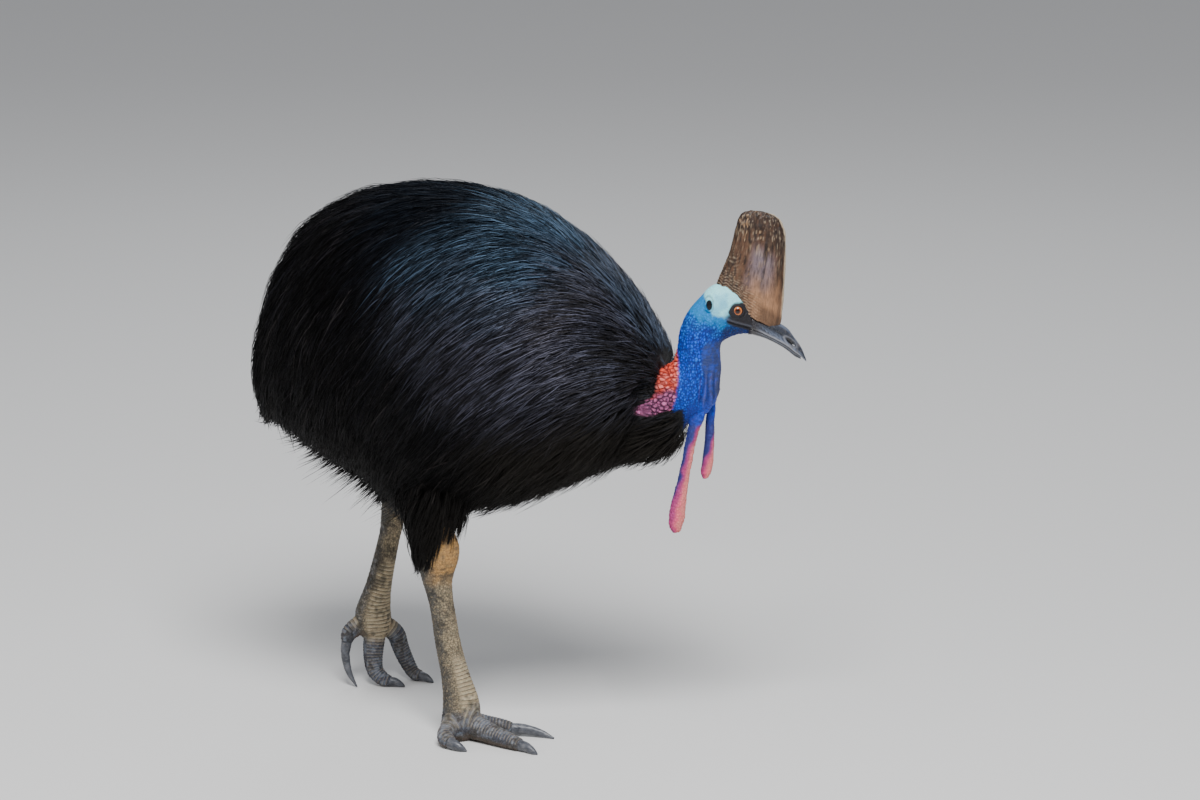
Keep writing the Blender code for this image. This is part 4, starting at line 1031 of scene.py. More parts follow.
HEAD_FROM = 0.315  # x ahead of which the skin is the neck's and the head's
LEGS_UNDER, LEGS_BEHIND = 0.41, 0.25  # z and x under and behind which it is the legs'
skin_points = points_of(skin)
# painted shade: the hide starts near black, for the dark between the coat's feathers; the legs and the head
# are painted over it
colours = np.tile(SKIN_COLOURS["hidden"], (len(skin_points), 1))
on_leg = (skin_points[:, 2] < LEGS_UNDER) & (skin_points[:, 0] < LEGS_BEHIND)
on_head = skin_points[:, 0] > HEAD_FROM
for side, sign in (("right", -1), ("left", 1)):
    mine = on_leg & (skin_points[:, 1] * sign > 0)
    colours[mine] = paint_leg(skin_points[mine], side)
colours[on_head] = paint_head(skin_points[on_head])
paint(skin, colours)
skin.data.materials.clear()
for made in (hide_material("feathered skin", 300.0, (0.85, 1.0), 0.0002),
             hide_material("bare blue and red skin", 620.0, (0.40, 0.60), 0.00022),
             hide_material("scaled leg skin", 420.0, (0.48, 0.75), 0.0004)):
    skin.data.materials.append(made)
corners = np.empty(len(skin.data.loops), np.int32)
skin.data.loops.foreach_get("vertex_index", corners)
starts = np.empty(len(skin.data.polygons), np.int32)
skin.data.polygons.foreach_get("loop_start", starts)
first = corners[starts]
skin.data.polygons.foreach_set("material_index", (on_head[first] + 2 * on_leg[first]).astype(np.int32))
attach(skin, "root")
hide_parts("torso", "rump", "thigh_left", "thigh_right", "neck_lower", "neck_upper", "head",
            "wattle_left", "wattle_right", "shank_left", "shank_right",
            *(f"toe_{which}_{side}" for which in ("inner", "middle", "outer") for side in ("left", "right")))

# ---- Casque -------------------------------------------------------------------------------------
# A tall helmet of fibrous brown horn over a core of bone, seated on the skull and the root of the
# bill. It grows upward from its base, so its fibres run up it and old layers end in ridges.

# Rear edge and front edge (ahead, up) with the half width, from the skull to the crest.
CASQUE = (
    (0.0220, 0.0700, 0.1320, 0.0080, 0.0190),
    (0.0287, 0.0880, 0.1400, 0.0192, 0.0198),
    (0.0325, 0.0991, 0.1428, 0.0450, 0.0195),
    (0.0415, 0.1200, 0.1443, 0.0749, 0.0180),
    (0.0519, 0.1490, 0.1460, 0.1090, 0.0162),
    (0.0572, 0.1720, 0.1474, 0.1480, 0.0143),
    (0.0610, 0.1893, 0.1464, 0.1690, 0.0120),
    (0.0650, 0.2035, 0.1425, 0.1870, 0.0095),
    (0.0730, 0.2120, 0.1350, 0.2010, 0.0068),
    (0.0850, 0.2165, 0.1190, 0.2110, 0.0035),
)
CASQUE_BASE = ((0.027, 0.055, 0.080, 0.0935, 0.141), (0.091, 0.079, 0.056, 0.047, 0.020))  # ahead, up
LAYER_PITCH = 0.0026  # half a wave of the ridges along its base
FIBRE_LEAN = 0.10  # how far ahead the fibres run as they rise
CASQUE_COLOURS = paints(
    brown=(88, 60, 42), dark=(26, 17, 13), purple=(118, 104, 112), tan=(166, 122, 88),
    fleck=(190, 148, 106), edge=(206, 188, 160))


def casque_frame(points):
    """Share of the way from the rear to the front edge, share of the way up; ahead, up and side."""
    ahead, up, side = head_frame(points)
    rows = fine(CASQUE, 8)
    rise = np.clip((up - 0.075 + (ahead - 0.03) * 0.55) / 0.145, 0.0, 1.0)
    rear = np.interp(up, rows[:, 1], rows[:, 0])
    front = np.interp(up, rows[:, 3], rows[:, 2])
    return np.clip((ahead - rear) / (front - rear), 0.0, 1.0), rise, ahead, up, side


def casque_fibres(points):
    """Noise drawn out along the horn's fibres: fine threads, bands and broad bands."""
    ahead, up, side = head_frame(points)
    spread = np.stack((ahead - (up - 0.06) * FIBRE_LEAN, side, up), -1)
    sizes = ((0.0011, 0.0011, 0.014), (0.0030, 0.0030, 0.022), (0.0060, 0.0060, 0.030))
    return [clouds(spread, size, 71 + i) for i, size in enumerate(sizes)]


def casque_layers(ahead, up, across, broad):
    """Ridges that run along the casque's base, from -1 to 1, and how much they show."""
    base = up - np.interp(ahead, *CASQUE_BASE)
    ridges = np.sin((base + (broad - 0.5) * 0.005) / LAYER_PITCH * math.pi)
    low = ramp(base, 0.040, 0.014) * ramp(across, 0.80, 0.45)
    rear = ramp(across, 0.30, 0.10) * ramp(base, 0.09, 0.05)
    return ridges, np.maximum(low, 0.7 * rear)


def grain_casque(points):
    """How high each point of the casque stands."""
    across, rise, ahead, up, side = casque_frame(points)
    thread, band, broad = casque_fibres(points)
    ridges, shown = casque_layers(ahead, up, across, broad)
    height = (thread - 0.5) * 0.0007 + (band - 0.5) * 0.0011 + (broad - 0.5) * 0.0018
    height += ridges * shown * 0.0004
    height += (clouds(points, 0.006, 74) - 0.5) * 0.0016 * ramp(rise, 0.65, 0.95)
    hollow = ridge(across, 0.62, 0.16) * ramp(rise, 0.05, 0.3) * ramp(np.abs(side), 0.004, 0.012)
    return height - 0.0010 * hollow


def paint_casque(points):
    """The colour of each point of the casque."""
    across, rise, ahead, up, _ = casque_frame(points)
    thread, band, broad = casque_fibres(points)
    ridges, shown = casque_layers(ahead, up, across, broad)
    # painted sheen: the smooth middle of the sides is painted purple-grey
    smooth = ramp(across, 0.30, 0.50) * ramp(across, 0.90, 0.70)
    smooth *= ramp(rise, 0.15, 0.35) * ramp(rise, 0.92, 0.70)
    warm = ramp(across, 0.35, 0.62) * ramp(rise + (broad - 0.5) * 0.25, 0.62, 0.20)
    banded = ramp(band + (0.35 - across) * 0.4 + rise * 0.15, 0.52, 0.82)
    flecks = ramp(thread * 0.7 + band * 0.4, 0.64, 0.80) * ramp(across, 0.95, 0.40)
    flecks *= (1 - 0.7 * smooth) * (1 - 0.7 * shown) * (0.25 + 0.75 * ramp(broad, 0.40, 0.65))
    foot = ramp(up - 0.02 - (0.14 - ahead) * 0.7, 0.018, 0.002) * ramp(ahead, 0.09, 0.11)
    return layered(
        CASQUE_COLOURS, len(points), "brown",
        # painted sheen on the smooth middle
        ("purple", 0.85 * smooth),
        ("tan", 0.85 * warm),
        ("dark", 0.8 * (1 - 0.75 * warm) * banded),
        ("dark", 0.75 * ramp(rise + (band - 0.5) * 0.5, 0.72, 0.96)),
        ("dark", 0.35 * ramp(broad + across * 0.2, 0.70, 0.92) * (1 - 0.7 * warm)),
        ("fleck", 0.60 * flecks),
        ("edge", 0.26 * ramp(thread, 0.62, 0.85) * ramp(rise, 0.50, 0.85)),
        ("edge", 0.50 * shown * ramp(ridges, 0.3, 0.95) * (0.2 + 0.8 * thread)),
        ("dark", 0.45 * shown * ramp(ridges, 0.1, -0.6)),
        ("dark", 0.60 * ramp(thread, 0.40, 0.18) * (1 - 0.6 * warm)),
        ("dark", 0.5 * ramp(across, 0.90, 0.94) * ramp(across, 0.975, 0.955)),
        ("edge", 0.8 * ramp(rise, 0.0, 0.2) * ramp(across, 0.965, 0.995)),
        ("dark", 0.6 * foot))


casque_rings = []
for rear_ahead, rear_up, front_ahead, front_up, half_width in fine(CASQUE, 12):
    middle = head_point((rear_ahead + front_ahead) / 2, (rear_up + front_up) / 2)
    lengthwise = head_point(front_ahead, front_up) - middle
    casque_rings.append(oval(middle, lengthwise, LEFTWARD * half_width, 160, 0.9))
helmet = lofted("helmet", casque_rings)
helmet_points = points_of(helmet)
paint(helmet, paint_casque(helmet_points))
press(helmet, grain_casque(helmet_points))
made, tree, shader = new_material(
    "fibrous casque horn", Specular_IOR_Level=0.28, Coat_Weight=0.05, Coat_Roughness=0.3)
threads = noise(tree, 900.0, 4.0, (1.0, 1.0, 0.10))
patches = noise(tree, 160.0, 3.0, (1.0, 1.0, 0.4))
shade = mixed(tree, graded(tree, threads, 0.35, 0.65, 0.0, 0.45), painted(tree), (0.02, 0.013, 0.010, 1.0))
shade = mixed(tree, graded(tree, patches, 0.5, 0.75, 0.0, 0.15), shade, (0.36, 0.22, 0.13, 1.0))
finished(tree, shader, shade, graded(tree, threads, 0.3, 0.7, 0.42, 0.66), threads, 0.0006)
helmet.data.materials.append(made)
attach(helmet, "root")
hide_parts("casque")

# ---- Bill ---------------------------------------------------------------------------------------
# Two halves of dark horn that shut along a curved cutting edge. The upper one hooks a little over
# the lower, and a groove runs from its root to a slit nostril near the tip.

# Ahead, ridge, cutting edge and half width of the upper half; the same, turned over, of the lower.
BILL_UPPER = (
    (0.0903, 0.0430, 0.0112, 0.0185),
    (0.1130, 0.0310, 0.0005, 0.0165),
    (0.1370, 0.0185, -0.0125, 0.0135),
    (0.1520, 0.0085, -0.0220, 0.0108),
    (0.1640, -0.0078, -0.0320, 0.0084),
    (0.1755, -0.0245, -0.0402, 0.0058),
    (0.1840, -0.0450, -0.0488, 0.0018),
)
BILL_LOWER = (
    (0.0903, -0.0010, 0.0108, 0.0175),
    (0.1130, -0.0078, 0.0001, 0.0150),
    (0.1370, -0.0200, -0.0129, 0.0118),
    (0.1520, -0.0300, -0.0224, 0.0088),
    (0.1640, -0.0398, -0.0325, 0.0062),
    (0.1745, -0.0450, -0.0403, 0.0026),
)
BILL_COLOURS = paints(
    dark=(36, 40, 50), plate=(106, 117, 138), edge=(146, 147, 154), hole=(6, 6, 8), worn=(104, 96, 90))
GROOVE = ((0.0, 0.35, 0.70, 1.0), (0.62, 0.55, 0.46, 0.40))  # share of the length, and of the bill's height
NOSTRIL_AT, NOSTRIL_SIZE, NOSTRIL_SLOPE = (0.1560, -0.0125), (0.0085, 0.0030), math.radians(-42)


def bill_half(name, rows, node_name):
    """One half of the bill: flat along its cutting edge, arched over its ridge, with its grooves."""
    fine_rows = fine(rows, 14)
    root = fine_rows[0] * (1, 1, 1, 0.86) - (0.007, 0.0, 0.0, 0.0)
    turn = np.linspace(0.0, math.pi, 61)
    arch = np.sin(turn) ** 0.8
    flat = np.linspace(-0.9, 0.9, 15)
    rings = []
    for ahead, crest, edge, half_width in np.vstack((root, fine_rows)):
        rings.append(np.vstack((
            head_point(ahead, edge + (crest - edge) * arch, half_width * np.cos(turn)),
            head_point(ahead, edge, half_width * flat))))
    piece = lofted(name, rings)
    points = points_of(piece)
    share = np.hstack((np.tile(np.hstack((arch, flat * 0)), len(rings)), 0.5, 0.5))
    ahead, up, side = head_frame(points)
    run = np.clip((ahead - rows[0][0]) / (rows[-1][0] - rows[0][0]), 0.0, 1.0)
    outer = ramp(np.abs(side), 0.0008, 0.003)
    streaks = clouds(np.stack((ahead + up, up * 3 + ahead * 2.4, side), -1), (0.012, 0.0022, 0.004), 81)
    height = (streaks - 0.5) * 0.0004
    layers = [("plate", 0.75 * ramp(share, 0.55, 0.25) * ramp(share, 0.02, 0.10) * ramp(streaks, 0.2, 0.9))]
    if name == "bill_top":
        groove = ridge(share, np.interp(run, *GROOVE), 0.07) * ramp(run, 0.80, 0.66) * outer
        lip = ridge(share, 0.10, 0.05) * outer
        c, s = math.cos(NOSTRIL_SLOPE), math.sin(NOSTRIL_SLOPE)
        x, y = ahead - NOSTRIL_AT[0], up - NOSTRIL_AT[1]
        reach = np.hypot((x * c + y * s) / NOSTRIL_SIZE[0], (y * c - x * s) / NOSTRIL_SIZE[1])
        hole = ramp(reach, 1.25, 0.75) * outer
        height += 0.0005 * ridge(reach, 1.5, 0.35) * outer
        height -= 0.0009 * groove + 0.0026 * hole - 0.0004 * lip
        layers += [
            ("hole", 0.55 * groove),
            ("edge", 0.7 * lip),
            # painted highlight: the lighter blue-grey along the ridge of the upper half
            ("plate", 0.62 * ramp(share, 0.80, 0.94) * (0.4 + 0.6 * ramp(streaks, 0.3, 0.8))),
            ("edge", 0.35 * ridge(reach, 1.7, 0.28) * outer),
            ("hole", hole)]
    else:
        groove = ridge(share, 0.45, 0.10) * outer * ramp(run, 0.95, 0.7)
        lip = ridge(share, 0.12, 0.08) * outer
        height += 0.0004 * lip - 0.0006 * groove
        layers.append(("edge", 0.55 * lip))
    layers += [
        ("worn", 0.5 * ramp(clouds(points, 0.004, 82), 0.62, 0.85) * ramp(run, 0.4, 0.95)),
        (SKIN_COLOURS["lores"], ramp(run, 0.26, 0.02))]
    paint(piece, layered(BILL_COLOURS, len(points), "dark", *layers))
    press(piece, height)
    piece.data.materials.append(bill_material)
    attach(piece, "root")
    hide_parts(node_name)


bill_material, tree, shader = new_material(
    "bill horn", Specular_IOR_Level=0.5, Coat_Weight=0.45, Coat_Roughness=0.16)
scuffs = noise(tree, 700.0, 4.0, (1.0, 1.0, 0.5))
shade = mixed(tree, graded(tree, scuffs, 0.52, 0.72, 0.0, 0.30), painted(tree), (0.16, 0.15, 0.15, 1.0))
finished(tree, shader, shade, graded(tree, scuffs, 0.3, 0.7, 0.22, 0.42), scuffs, 0.00025)
bill_half("bill_top", BILL_UPPER, "bill_upper")
bill_half("bill_bottom", BILL_LOWER, "bill_lower")

# ---- Eyes ---------------------------------------------------------------------------------------
# Glass-clear balls in the ring of the lids: an orange-brown iris with a dark rim round a black
# pupil, under a cornea that stands a little proud.

EYE_RADIUS, PUPIL_RADIUS, IRIS_RADIUS, CORNEA_RISE = 0.0122, 0.0034, 0.0084, 0.0008
PUPIL_BLUR = 0.0002
EYE_COLOURS = paints(
    iris=(168, 82, 36), iris_dark=(74, 26, 12), iris_light=(216, 136, 72), pupil=(3, 3, 4),
    rim=(26, 14, 10))
eye_material, tree, shader = new_material(
    "clear eye", Roughness=0.06, Specular_IOR_Level=0.3, Coat_Weight=0.35, Coat_Roughness=0.02)
flecks = graded(tree, noise(tree, 1500.0, 3.0), 0.4, 0.7, 0.0, 0.35)
tree.links.new(mixed(tree, flecks, painted(tree), (0.06, 0.02, 0.01, 1.0)), shader.inputs["Base Color"])
for name, sign, node_name in (("eyeball_right", -1, "eye_right"), ("eyeball_left", 1, "eye_left")):
    rings = []
    for roll in np.linspace(0.02, math.pi - 0.02, 70):
        reach = EYE_RADIUS * math.sin(roll)
        bulge = CORNEA_RISE * max(0.0, 1 - (reach / IRIS_RADIUS) ** 2) if roll < math.pi / 2 else 0.0
        out = sign * (EYE_AT[2] + EYE_RADIUS * math.cos(roll) + bulge)
        rings.append(oval(head_point(*EYE_AT[:2], out), FORWARD * reach, UPWARD * reach, 96))
    eyeball = lofted(name, rings)
    ahead, up, side = head_frame(points_of(eyeball))
    reach = np.hypot(ahead - EYE_AT[0], up - EYE_AT[1])
    turn = np.arctan2(up - EYE_AT[1], ahead - EYE_AT[0])
    spokes = clouds(np.stack((turn * 4.0, reach * 90, side * 0), -1), 0.28, 91)
    paint(eyeball, layered(
        EYE_COLOURS, len(reach), "iris",
        ("iris_light", ramp(reach, 0.0078, 0.0066) * ramp(reach, 0.0050, 0.0062) * (0.3 + 0.7 * spokes)),
        ("iris_dark", 0.85 * ramp(reach, 0.0060, 0.0042)),
        ("rim", ramp(reach, 0.0070, 0.0082)),
        ("pupil", ramp(reach, PUPIL_RADIUS + PUPIL_BLUR, PUPIL_RADIUS - PUPIL_BLUR))))
    eyeball.data.materials.append(eye_material)
    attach(eyeball, "root")
    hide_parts(node_name)

# ---- Claws --------------------------------------------------------------------------------------
# A horn claw on each toe, blunt on the middle and outer toes and a long dagger on the inner one.
# Each grows out of a fold of skin at the toe's end.

CLAWS = {
    "middle_right": ((0.181, -0.160, 0.010), (0.195, -0.164, 0.005), (0.204, -0.166, 0.0015)),
    "inner_right": ((0.142, -0.075, 0.013), (0.172, -0.071, 0.008), (0.196, -0.071, 0.0015)),
    "outer_right": ((0.060, -0.196, 0.010), (0.072, -0.197, 0.006), (0.082, -0.196, 0.0015)),
    "middle_left": ((-0.198, 0.111, 0.009), (-0.188, 0.113, 0.005), (-0.180, 0.114, 0.0015)),
    "inner_left": ((-0.285, 0.081, 0.060), (-0.278, 0.080, 0.028), (-0.262, 0.080, 0.0015)),
    "outer_left": ((-0.160, 0.160, 0.009), (-0.150, 0.159, 0.005), (-0.142, 0.158, 0.0015)),
}
CLAW_SIZES = (0.90, 0.78, 0.55, 0.13)  # its size along its length, as a share of the toe's end
CLAW_NARROWER = 0.9  # share of that width that is left, as a claw is slimmer than its toe
claw_material, tree, shader = new_material(
    "claw horn", Specular_IOR_Level=0.5, Coat_Weight=0.1, Coat_Roughness=0.25)
lengthwise = noise(tree, 420.0, 4.0, (0.3, 1.0, 1.0))
cloudy = noise(tree, 90.0, 3.0)
shade = mixed(tree, graded(tree, cloudy, 0.35, 0.7), (0.030, 0.033, 0.042, 1.0), (0.11, 0.115, 0.13, 1.0))
shade = mixed(tree, graded(tree, lengthwise, 0.55, 0.75, 0.0, 0.6), shade, (0.20, 0.18, 0.16, 1.0))
finished(tree, shader, shade, graded(tree, lengthwise, 0.3, 0.7, 0.30, 0.52), lengthwise, 0.0004)
for which, tips in CLAWS.items():
    *root, height, width = TOES[which][-1]
    rows = [(*middle, height * size, width * size * CLAW_NARROWER)
            for middle, size in zip((root, *tips), CLAW_SIZES)]
    nail = lofted("nail_" + which, path_rings(fine(rows, 12), 40))
    press(nail, (clouds(points_of(nail), (0.012, 0.0018, 0.0018), 95) - 0.5) * 0.0007)
    stand(nail)
    nail.data.materials.append(claw_material)
    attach(nail, "root")
    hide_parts("claw_" + which)

# ---- Feathers -----------------------------------------------------------------------------------
# Loose, hair-like black feathers that part at the neck's base, sweep back over the body and hang off
# the flanks, the belly and the rump. They stand in tufts, root in the hide and lie over one another.

NECK_BASE = np.array((0.367, 0.0, 0.645))
TAIL = np.array((-0.415, 0.0, 0.592))  # where the lies from both sides meet, and the feathers are short
DROOP = 2.6  # how fast the lie turns down with the distance from the neck's base
DROOP_UNTIL = 0.54  # the distance from which it turns down no further
TAIL_LIFT = 0.36  # share of that droop which the tail's feathers lack
PATH_STEPS = 7
STRAND_WIDTHS = (0.55, 1.0, 0.78)  # share of the width at each ring, before the tip
STRAND_RISE = (0.0, 0.82, 1.0, 1.0)  # how far each ring and the tip have come from the hide to the outline
STRAND_THICKNESS = 0.00045  # of a strand of the coat's mean width
STRAND_WAVE, STRAND_ROLL = 0.0010, 0.50  # spread of how far strands wave aside, and roll on their run
STRAND_RINGS = len(STRAND_WIDTHS)
STRAND_POINTS = 3 * STRAND_RINGS + 1
SLACK = 0.5  # where the lie points this much out of the skin, a tuft keeps its heading
HANG_FROM, HANG_OVER = 0.25, 0.35  # how far the skin faces down where tufts begin to hang, and over how much
HANG_PULL = 0.22  # how strongly they then turn down at each step
TRIALS = 7  # how often a coat is combed, while any tuft hangs too far
SHORTER = 0.86  # share of its length that such a tuft keeps for the next time
ROOT_DEPTH = 0.002  # how far a root is under the hide
PATCH = 0.003  # side of a tuft's place on the map for baking
COLLAR = 0.007  # how deep the coat is round the lower neck


class Surface:
    """A lofted surface, asked for its nearest points and for the smooth outward directions there."""

    def __init__(self, rings):
        self.points, self.faces = tube(rings)
        a, b, c = (self.points[self.faces[:, i]] for i in range(3))
        flat = np.cross(b - a, c - a)
        self.normals = np.zeros_like(self.points)
        for i in range(3):
            np.add.at(self.normals, self.faces[:, i], flat)
        if (self.normals * (self.points - self.points.mean(0))).sum() < 0:
            self.normals *= -1
        self.normals /= np.linalg.norm(self.normals, axis=1)[:, None]
        self.tree = BVHTree.FromPolygons(self.points.tolist(), self.faces.tolist())

    def nearest(self, points):
        """The surface's nearest point to each point, and its smooth normal."""
        found = [self.tree.find_nearest(point) for point in points.tolist()]
        near = np.array([hit[0] for hit in found])
        corners = self.faces[[hit[2] for hit in found]]
        a, b, c = (self.points[corners[:, i]] for i in range(3))
        whole = np.cross(b - a, c - a)
        size = (whole * whole).sum(1)
        share_b = (np.cross(near - a, c - a) * whole).sum(1) / size
        share_c = (np.cross(b - a, near - a) * whole).sum(1) / size
        shares = np.clip(np.stack((1 - share_b - share_c, share_b, share_c), 1), 0.0, 1.0)
        normals = (self.normals[corners] * shares[..., None]).sum(1)
        return near, unit(normals)


def roots_over(rings, count):
    """Places spread evenly over a loft along a winding spiral, and where each lies on its unwrap."""
    rings = np.array(rings)
    closed = np.concatenate((rings, rings[:, :1]), 1)
    steps = np.linalg.norm(np.diff(closed, axis=1), axis=2)
    around = np.concatenate((np.zeros((len(rings), 1)), np.cumsum(steps, 1)), 1)
    girths = around[:, -1]
    slants = np.linalg.norm(np.diff(rings, axis=0), axis=2).mean(1)
    areas = np.concatenate(([0.0], np.cumsum(slants * (girths[1:] + girths[:-1]) / 2)))
    k = np.arange(count)
    area = areas[-1] * (k + 0.5) / count
    row = np.clip(np.searchsorted(areas, area, side="right") - 1, 0, len(rings) - 2)
    share = ((area - areas[row]) / (areas[row + 1] - areas[row]))[:, None]
    turn = k * (3.0 - math.sqrt(5.0)) / 2 % 1.0
    roots = np.empty((count, 3))
    for i in np.unique(row):
        mine = row == i
        ends = []
        for j in (i, i + 1):
            place = np.interp(turn[mine] * girths[j], around[j], np.arange(closed.shape[1]))
            low = np.minimum(place.astype(int), closed.shape[1] - 2)
            part = (place - low)[:, None]
            ends.append(closed[j, low] * (1 - part) + closed[j, low + 1] * part)
        roots[mine] = ends[0] * (1 - share[mine]) + ends[1] * share[mine]
    return roots, np.stack((turn, (k + 0.5) / count), 1)


def combed(surface, roots, lie, lengths, sway, limit):
    """Paths over a surface from the roots along the lie, which hang free by a limit where it turns under."""
    lengths = lengths.copy()
    for trial in range(TRIALS):
        point, normal = surface.nearest(roots)
        path, outward = [point], [normal]
        heading = np.zeros_like(point)
        highest = np.zeros(len(point))
        for _ in range(PATH_STEPS):
            wanted = unit(lie(point))
            wanted = wanted - normal * (wanted * normal).sum(1)[:, None]
            firm = np.minimum(np.linalg.norm(wanted, axis=1) / SLACK, 1.0)[:, None]
            wanted = unit(wanted)
            wanted = (wanted + np.cross(normal, wanted) * sway[:, None]) * firm
            hang = np.clip((-normal[:, 2] - HANG_FROM) / HANG_OVER, 0.0, 1.0)[:, None]
            heading = unit(heading + wanted - UPWARD * hang * HANG_PULL)
            point = point + heading * (lengths / PATH_STEPS)[:, None]
            near, normal = surface.nearest(point)
            height = ((point - near) * normal).sum(1)
            height = np.maximum(height * hang[:, 0], 0.0)
            highest = np.maximum(highest, height)
            point = near + normal * height[:, None]
            path.append(point)
            outward.append(normal)
        far = highest > limit
        if not far.any() or trial == TRIALS - 1:
            break
        lengths[far] *= SHORTER
    return np.stack(path, 1), np.stack(outward, 1)


def strands(path, outward, tuft, start, reach, aside, depth, layer, width, rng):
    """The points of slim, pointed, three-edged strands along their tufts' paths."""
    count = len(tuft)
    tau = np.linspace(0.0, 1.0, STRAND_RINGS + 1)
    along = (start[:, None] + reach[:, None] * tau) * PATH_STEPS
    low = np.clip(along.astype(int), 0, PATH_STEPS - 1)
    part = (along - low)[..., None]
    rows = tuft[:, None]
    middle = path[rows, low] * (1 - part) + path[rows, low + 1] * part
    normal = unit(outward[rows, low] * (1 - part) + outward[rows, low + 1] * part)
    run = unit(np.gradient(middle, axis=1))
    across = unit(np.cross(run, normal))
    wave = rng.normal(0.0, STRAND_WAVE, count)[:, None]
    turns = tau * rng.uniform(0.5, 1.1, count)[:, None] + rng.random(count)[:, None]
    wave = wave * np.sin(math.tau * turns) * tau
    drift = aside[0][:, None] * (1 - tau) + aside[1][:, None] * tau + wave
    sunk = depth[:, None] * (1 - np.array(STRAND_RISE)) + layer[:, None] * np.minimum(tau * 2, 1.0)
    middle = middle + across * drift[..., None] - normal * sunk[..., None]
    run = unit(np.gradient(middle, axis=1))
    roll = rng.normal(0.0, STRAND_ROLL, count)[:, None, None]
    across = unit(np.cross(run, normal))
    keel = unit(np.cross(across, run))
    across, keel = across * np.cos(roll) + keel * np.sin(roll), keel * np.cos(roll) - across * np.sin(roll)
    width = width[:, None, None]
    wide = width / 2 * np.array(STRAND_WIDTHS)[:, None]
    thick = STRAND_THICKNESS * np.array(STRAND_WIDTHS)[:, None] * (width / width.mean())
    body, across, keel = middle[:, :-1], across[:, :-1], keel[:, :-1]
    corners = np.stack((body - across * wide, body + across * wide, body + keel * thick), 2)
    return np.concatenate((corners.reshape(count, -1, 3), middle[:, -1:]), 1)


STRAND_FACES = [(STRAND_POINTS - 4 + k, STRAND_POINTS - 4 + (k + 1) % 3, STRAND_POINTS - 1) for k in range(3)]
for low, k in np.ndindex(STRAND_RINGS - 1, 3):
    a, b = 3 * low + k, 3 * low + (k + 1) % 3
    STRAND_FACES += [(a, b, b + 3), (a, b + 3, a + 3)]
STRAND_FACES = np.array(STRAND_FACES + [(0, 2, 1)])


def feather_piece(name, points, places_on_map, tones):
    """One piece of the coat from its strands, mapped tuft by tuft on an unwrap of the hide."""
    count = len(points)
    faces = (STRAND_FACES[None] + STRAND_POINTS * np.arange(count)[:, None, None]).reshape(-1, 3)
    a, b, c = (points[0][STRAND_FACES[:, i]] - points[0].mean(0) for i in range(3))
    if (np.cross(a, b) * c).sum() < 0:
        faces = faces[:, ::-1]
    piece = shape(name, points.reshape(-1, 3), faces)
    tau = np.append(np.repeat(np.arange(STRAND_RINGS) / STRAND_RINGS, 3), 1.0)
    edge = np.append(np.tile((-0.5, 0.5, 0.0), STRAND_RINGS), 0.0)
    spot = np.clip(places_on_map, PATCH / 2, 1 - PATCH / 2)[:, None]
    spot = (spot + np.stack((edge, tau - 0.5), 1) * PATCH).reshape(-1, 2)[faces.ravel()]
    piece.data.uv_layers.new(name="OFBake").data.foreach_set("uv", spot.astype(np.float32).ravel())
    per_point = (*np.repeat(tones, STRAND_POINTS, axis=0).T, np.tile(tau, count))
    for key, values in zip(("tone", "blue", "brown", "painted_sheen", "run"), per_point):
        kept = piece.data.attributes.new(key, "FLOAT", "POINT")
        kept.data.foreach_set("value", values.astype(np.float32))
    piece.data.materials.append(feather_material)
    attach(piece, "root")


# The blue colours here are a painted blue sky reflection, laid on where the coat's blue marking is high.
BLACK, BLUE_BLACK = (0.0014, 0.0013, 0.0014, 1.0), (0.0020, 0.0032, 0.0060, 1.0)
BLACK_BRIGHT, BLUE_BRIGHT = (0.138, 0.136, 0.192, 1.0), (0.128, 0.222, 0.350, 1.0)  # painted sheen: the colours of strands that shine, in place of their highlights
BLACK_SHEEN, BLUE_SHEEN = (0.56, 0.52, 0.60, 1.0), (0.50, 0.74, 1.0, 1.0)
DULL_SHEEN = (0.085, 0.080, 0.078, 1.0)
BROWN, PALE_STRANDS = (0.0200, 0.0175, 0.0145, 1.0), (0.042, 0.036, 0.033, 1.0)
TIP, SPECKLE = (0.014, 0.010, 0.008, 1.0), (0.003, 0.003, 0.004, 1.0)
feather_material, tree, shader = new_material("black feathers", Specular_IOR_Level=0.60)
tone, blue, brown, painted_sheen, run = (node(tree, "Attribute", attribute_name=key).outputs["Fac"]
                                 for key in ("tone", "blue", "brown", "painted_sheen", "run"))
# painted sheen: the brighter strands, lightened where the coat's painted sheen is high
lit = node(tree, "Math", {0: graded(tree, tone, 0.44, 0.98), 1: painted_sheen}, operation="MULTIPLY").outputs[0]
sleek = graded(tree, tone, 0.0, 1.0, 0.50, 1.0)
sleek = node(tree, "Math", {0: painted_sheen, 1: sleek}, operation="MULTIPLY").outputs[0]
# painted reflection: the blue marking tints the base colour with the sky's blue
shade = mixed(tree, brown, mixed(tree, blue, BLACK, BLUE_BLACK), BROWN)
shade = mixed(tree, lit, shade, mixed(tree, blue, BLACK_BRIGHT, BLUE_BRIGHT))
# a paler brown on the strands of highest tone
shade = mixed(tree, graded(tree, tone, 0.82, 1.0, 0.0, 0.80), shade, PALE_STRANDS)
shade = mixed(tree, graded(tree, run, 0.80, 1.0, 0.0, 0.30), shade, TIP)
shade = mixed(tree, graded(tree, noise(tree, 340.0, 2.0), 0.45, 0.7, 0.0, 0.35), shade, SPECKLE)
# specular tint: dull where the painted sheen is low, as painted shade, and sky-tinted where it is high
sheen = mixed(tree, painted_sheen, DULL_SHEEN, mixed(tree, blue, BLACK_SHEEN, BLUE_SHEEN))
tree.links.new(shade, shader.inputs["Base Color"])
tree.links.new(sheen, shader.inputs["Specular Tint"])
tree.links.new(graded(tree, sleek, 0.0, 1.0, 0.72, 0.27), shader.inputs["Roughness"])


